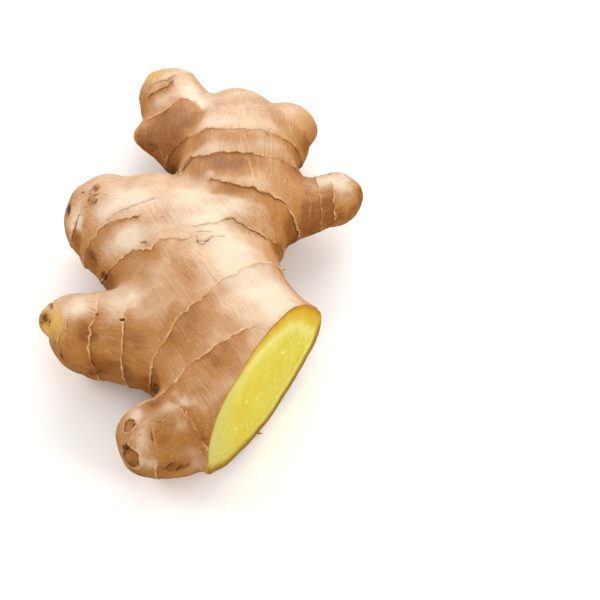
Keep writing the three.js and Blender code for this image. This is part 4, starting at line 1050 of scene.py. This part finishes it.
def skin_material():
    m = Net("ginger_skin")
    mm = m.mm()
    # lengthwise fibres: noise drawn out along each finger
    fib, cord = None, None
    for k, d in enumerate(DIRS):
        mp = m.n("ShaderNodeMapping", vector_type="TEXTURE")
        m.put(mp.inputs["Vector"], mm)
        mp.inputs["Rotation"].default_value = (0, 0, math.atan2(d[1], d[0]))
        mp.inputs["Scale"].default_value = (12.0, 1.0, 1.0)
        w = m.attr("run%d" % k)
        a = m.math("MULTIPLY", m.noise(mp.outputs[0], 1.5, 4.0, 0.62, 0.6), w)
        b = m.math("MULTIPLY", m.noise(mp.outputs[0], 0.55, 3.0, 0.55, 0.8), w)
        fib = a if fib is None else m.math("ADD", fib, a)
        cord = b if cord is None else m.math("ADD", cord, b)
    blot = m.noise(mm, 0.09, 3.0, 0.55)
    spec = m.noise(mm, 0.33, 3.0, 0.6)
    grain = m.noise(mm, 2.2, 2.0, 0.6)
    brown_shade_a, cream_a, dark_shadow_a = m.attr("tan"), m.attr("cream"), m.attr("dark")
    pale_highlight_a, yel_a = m.attr("pale"), m.attr("yellow")
    # plain skin: pale tan, pinkish and buff patches
    col = m.mix(m.range(blot, 0.38, 0.64), (0.525, 0.272, 0.105), (0.44, 0.205, 0.066))
    col = m.mix(m.math("MULTIPLY", m.range(spec, 0.46, 0.72), 0.40), col, (0.49, 0.250, 0.118))
    # pale skin and painted highlight on the tops turned to the light
    col = m.mix(m.math("MULTIPLY", pale_highlight_a, 0.90), col, (0.70, 0.555, 0.415))
    # brown below the rings and round the scars, and painted shade on the flanks turned from the light, under the head
    # and below the rings' edges
    tf = m.math("ADD", m.math("MULTIPLY", brown_shade_a, 0.95), m.math("MULTIPLY", m.math("SUBTRACT", fib, 0.5), 0.40))
    tf = m.math("ADD", tf, m.math("MULTIPLY", m.math("SUBTRACT", cord, 0.5), 0.28))
    col = m.mix(m.range(tf, 0.02, 0.62), col, (0.41, 0.165, 0.028))
    col = m.mix(m.range(tf, 0.55, 1.35), col, (0.270, 0.088, 0.009))
    # fine fibres, lighter and darker
    ff = m.range(fib, 0.36, 0.66, -0.5, 0.5, False)
    calm = m.range(pale_highlight_a, 0.2, 1.0, 1.0, 0.25)
    thin = m.range(brown_shade_a, 0.45, 1.25, 0.26, 0.13)
    col = m.mix(m.math("MULTIPLY", m.range(fib, 0.50, 0.68), thin), col, (0.74, 0.51, 0.33))
    col = m.mix(m.math("MULTIPLY", m.range(fib, 0.50, 0.36), m.math("MULTIPLY", calm, 0.36)), col, (0.27, 0.105, 0.030))
    # bud tips
    yy = m.math("ADD", yel_a, m.math("MULTIPLY", m.math("SUBTRACT", spec, 0.5), 0.8))
    col = m.mix(m.range(yy, 0.12, 1.0, 0.0, 0.85), col, (0.62, 0.36, 0.055))
    col = m.mix(m.math("MULTIPLY", m.range(yy, 0.6, 1.2), m.range(fib, 0.40, 0.62)), col, (0.68, 0.47, 0.11))
    # cream edges, dark marks, and dark lines with painted shadow under the rings' edges
    col = m.mix(m.range(cream_a, 0.15, 1.05, 0.0, 0.80), col, (0.78, 0.52, 0.27))
    dk = m.math("ADD", dark_shadow_a, m.math("MULTIPLY", m.math("SUBTRACT", grain, 0.5), m.math("MULTIPLY", dark_shadow_a, 1.4)))
    col = m.mix(m.range(dk, 0.10, 0.62, 0.0, 0.85), col, (0.215, 0.072, 0.007))
    col = m.mix(m.range(dk, 0.60, 1.25, 0.0, 0.85), col, (0.042, 0.010, 0.001))
    b = m.n("ShaderNodeBsdfPrincipled")
    m.put(b.inputs["Base Color"], col)
    m.put(b.inputs["Roughness"], m.range(m.math("ADD", fib, m.math("MULTIPLY", dark_shadow_a, 0.4)), 0.35, 0.9, 0.31, 0.56))
    b.inputs["Specular IOR Level"].default_value = 0.45
    b.inputs["Specular Tint"].default_value = (1.0, 0.94, 0.85, 1)
    b.inputs["Subsurface Weight"].default_value = 0.08
    b.inputs["Subsurface Radius"].default_value = (1.0, 0.5, 0.25)
    b.inputs["Subsurface Scale"].default_value = 0.0012
    b.inputs["Coat Weight"].default_value = 0.10
    b.inputs["Coat Roughness"].default_value = 0.30
    wrk = m.noise(mm, 0.9, 4.0, 0.65, 1.2)
    hgt = m.math("ADD", m.math("MULTIPLY", fib, 1.0), m.math("MULTIPLY", cord, 0.7))
    hgt = m.math("ADD", hgt, m.math("MULTIPLY", wrk, 0.8))
    hgt = m.math("ADD", hgt, m.math("MULTIPLY", grain, 0.35))
    hgt = m.math("ADD", hgt, m.math("MULTIPLY", spec, 0.6))
    bump = m.n("ShaderNodeBump")
    bump.inputs["Strength"].default_value = 1.0
    bump.inputs["Distance"].default_value = 0.00042
    m.put(bump.inputs["Height"], hgt)
    m.put(b.inputs["Normal"], bump.outputs[0])
    m.put(b.inputs["Coat Normal"], bump.outputs[0])
    m.put(m.out.inputs["Surface"], b.outputs[0])
    return m.mat


def flesh_material():
    m = Net("ginger_flesh")
    mm = m.mm()
    deep, across, gold = m.attr("deep"), m.attr("across"), m.attr("gold")
    mott = m.noise(mm, 0.45, 4.0, 0.6)
    fine = m.noise(mm, 1.9, 3.0, 0.6)
    wob = m.math("ADD", gold, m.math("MULTIPLY", m.math("SUBTRACT", mott, 0.5), 1.5))
    big = m.noise(mm, 0.085, 2.0, 0.5)
    col = m.mix(m.range(mott, 0.35, 0.68), (0.66, 0.585, 0.080), (0.63, 0.525, 0.045))
    col = m.mix(m.math("MULTIPLY", m.range(big, 0.45, 0.65), 0.7), col, (0.64, 0.475, 0.020))
    # the width of the golden rind, wider towards the far end
    g1 = m.range(across, 0.12, 0.80)
    g2 = m.range(across, 0.72, 0.98)
    wide = m.math("ADD", m.math("ADD", 0.80, m.math("MULTIPLY", g1, 1.9)), m.math("MULTIPLY", g2, 0.7))
    # paler band inside the rind, greener towards the near end
    pale_c = m.mix(m.range(across, 0.55, 0.1), (0.74, 0.69, 0.22), (0.58, 0.55, 0.17))
    inner = m.math("MULTIPLY", m.range(m.math("SUBTRACT", wob, wide), 3.6, 0.6), m.range(m.math("SUBTRACT", wob, wide), -0.8, 0.6))
    col = m.mix(m.math("MAXIMUM", m.math("MULTIPLY", inner, 0.70), 0.10), col, pale_c)
    near_end = m.range(across, 0.30, 0.0)
    col = m.mix(m.math("MULTIPLY", near_end, 0.75), col, (0.53, 0.485, 0.15))
    ridge = m.math("SUBTRACT", wob, m.math("ADD", wide, 4.0))
    line = m.math("MULTIPLY", m.range(ridge, -0.5, 0.0), m.range(ridge, 0.5, 0.0))
    col = m.mix(m.math("MULTIPLY", line, 0.12), col, (0.52, 0.36, 0.015))
    vor = m.n("ShaderNodeTexVoronoi", feature="F1", voronoi_dimensions="3D")
    m.put(vor.inputs["Vector"], mm)
    vor.inputs["Scale"].default_value = 0.30
    dots = m.math("MULTIPLY", m.range(vor.outputs["Distance"], 0.20, 0.10), m.range(big, 0.38, 0.50))
    col = m.mix(m.math("MULTIPLY", m.math("MULTIPLY", dots, m.range(wob, 3.0, 4.5)), 0.70), col, (0.95, 0.84, 0.34))
    # golden rind, a browner band along the underside, then a thin brown line and the skin's own edge
    stir = m.math("SUBTRACT", mott, 0.5)
    rind = m.math("DIVIDE", m.math("ADD", gold, m.math("MULTIPLY", stir, 0.7)), wide)
    col = m.mix(m.range(rind, 1.35, 0.20, 0.0, 0.95), col, m.mix(g1, (0.57, 0.385, 0.040), (0.63, 0.345, 0.014)))
    under = m.math("ADD", m.attr("under"), m.math("MULTIPLY", stir, 1.2))
    col = m.mix(m.range(under, 4.0, 1.6, 0.0, 0.90), col, (0.47, 0.300, 0.035))
    col = m.mix(m.range(under, 2.7, 0.5, 0.0, 0.85), col, (0.21, 0.108, 0.012))
    col = m.mix(m.range(rind, 0.40, 0.02, 0.0, 0.85), col, (0.42, 0.190, 0.010))
    col = m.mix(m.range(deep, 0.36, 0.20, 0.0, 0.70), col, (0.27, 0.120, 0.014))
    col = m.mix(m.range(deep, 0.18, 0.05, 0.0, 0.9), col, m.mix(g2, (0.50, 0.29, 0.12), (0.74, 0.47, 0.22)))
    b = m.n("ShaderNodeBsdfPrincipled")
    m.put(b.inputs["Base Color"], col)
    m.put(b.inputs["Roughness"], m.range(fine, 0.3, 0.7, 0.26, 0.46))
    b.inputs["Specular IOR Level"].default_value = 0.35
    b.inputs["Subsurface Weight"].default_value = 0.25
    b.inputs["Subsurface Radius"].default_value = (1.0, 0.75, 0.22)
    b.inputs["Subsurface Scale"].default_value = 0.0022
    b.inputs["Coat Weight"].default_value = 0.08
    b.inputs["Coat Roughness"].default_value = 0.22
    hgt = m.math("ADD", m.math("MULTIPLY", fine, 0.5), m.math("MULTIPLY", mott, 0.8))
    hgt = m.math("ADD", hgt, m.math("MULTIPLY", dots, 0.25))
    bump = m.n("ShaderNodeBump")
    bump.inputs["Strength"].default_value = 0.5
    bump.inputs["Distance"].default_value = 0.00025
    m.put(bump.inputs["Height"], hgt)
    m.put(b.inputs["Normal"], bump.outputs[0])
    m.put(m.out.inputs["Surface"], b.outputs[0])
    return m.mat


me.materials.append(skin_material())
me.materials.append(flesh_material())

# ---------------------------------------------------------------- camera, floor, light
look = Vector((28.0, -4.0, 18.0)) - Vector(BASE)
el = math.radians(50.0)
cam = bpy.data.cameras.new("camera")
cam.lens = 160.0
cam.sensor_width = 36.0
cam.clip_start = 0.01
cam_o = bpy.data.objects.new("camera", cam)
bpy.context.scene.collection.objects.link(cam_o)
cam_o.location = (look - 800.0 * Vector((0, math.cos(el), -math.sin(el)))) / 1000.0
cam_o.rotation_euler = (math.pi / 2 - el, 0, 0)
bpy.context.scene.camera = cam_o

fm = bpy.data.meshes.new("floor")
fm.from_pydata([(-4, -4, 0), (4, -4, 0), (4, 4, 0), (-4, 4, 0)], [], [(0, 1, 2, 3)])
floor = bpy.data.objects.new("floor", fm)
bpy.context.scene.collection.objects.link(floor)
nf = Net("floor_paper")
bf = nf.n("ShaderNodeBsdfPrincipled")
bf.inputs["Base Color"].default_value = (0.93, 0.93, 0.93, 1)
bf.inputs["Roughness"].default_value = 0.85
bf.inputs["Specular IOR Level"].default_value = 0.1
nf.put(nf.out.inputs["Surface"], bf.outputs[0])
fm.materials.append(nf.mat)
floor.visible_glossy = False

world = bpy.data.worlds.new("world")
world.use_nodes = True
world.node_tree.nodes["Background"].inputs["Color"].default_value = (1.0, 0.985, 0.965, 1)
world.node_tree.nodes["Background"].inputs["Strength"].default_value = 0.39
bpy.context.scene.world = world
world.cycles_visibility.glossy = False


def area(name, where, size, power, colour=(1, 1, 1), aim=(0, 0, 0.02), shine=True):
    l = bpy.data.lights.new(name, "AREA")
    l.shape = "RECTANGLE"
    l.size, l.size_y = size
    l.energy = power
    l.color = colour
    ob = bpy.data.objects.new(name, l)
    ob.location = where
    ob.rotation_euler = (Vector(aim) - Vector(where)).to_track_quat("-Z", "Y").to_euler()
    ob.visible_glossy = shine
    bpy.context.scene.collection.objects.link(ob)


area("key", (0.34, 0.74, 0.56), (0.80, 0.50), 3.1, (1.0, 0.985, 0.965))
area("back", (0.0, 0.95, 0.30), (1.50, 0.50), 9.4, (1.0, 0.985, 0.965))
area("top", (-0.05, 0.42, 1.0), (0.80, 0.60), 1.3, (1.0, 0.985, 0.965))
area("left", (-0.86, 0.25, 0.44), (0.60, 0.40), 5.8, (1.0, 0.985, 0.965))
area("right", (0.88, 0.24, 0.44), (0.50, 0.40), 3.2, (1.0, 0.985, 0.965))
area("side", (0.68, -0.42, 0.45), (0.50, 0.40), 3.7, (1.0, 0.98, 0.96), shine=False)
area("front", (-0.42, -0.82, 0.60), (0.80, 0.60), 4.6, (1.0, 0.965, 0.92), shine=False)

sc = bpy.context.scene
sc.view_settings.view_transform = "Standard"
sc.view_settings.look = "None"
sc.view_settings.exposure = 0.0
sc.view_settings.gamma = 1.0
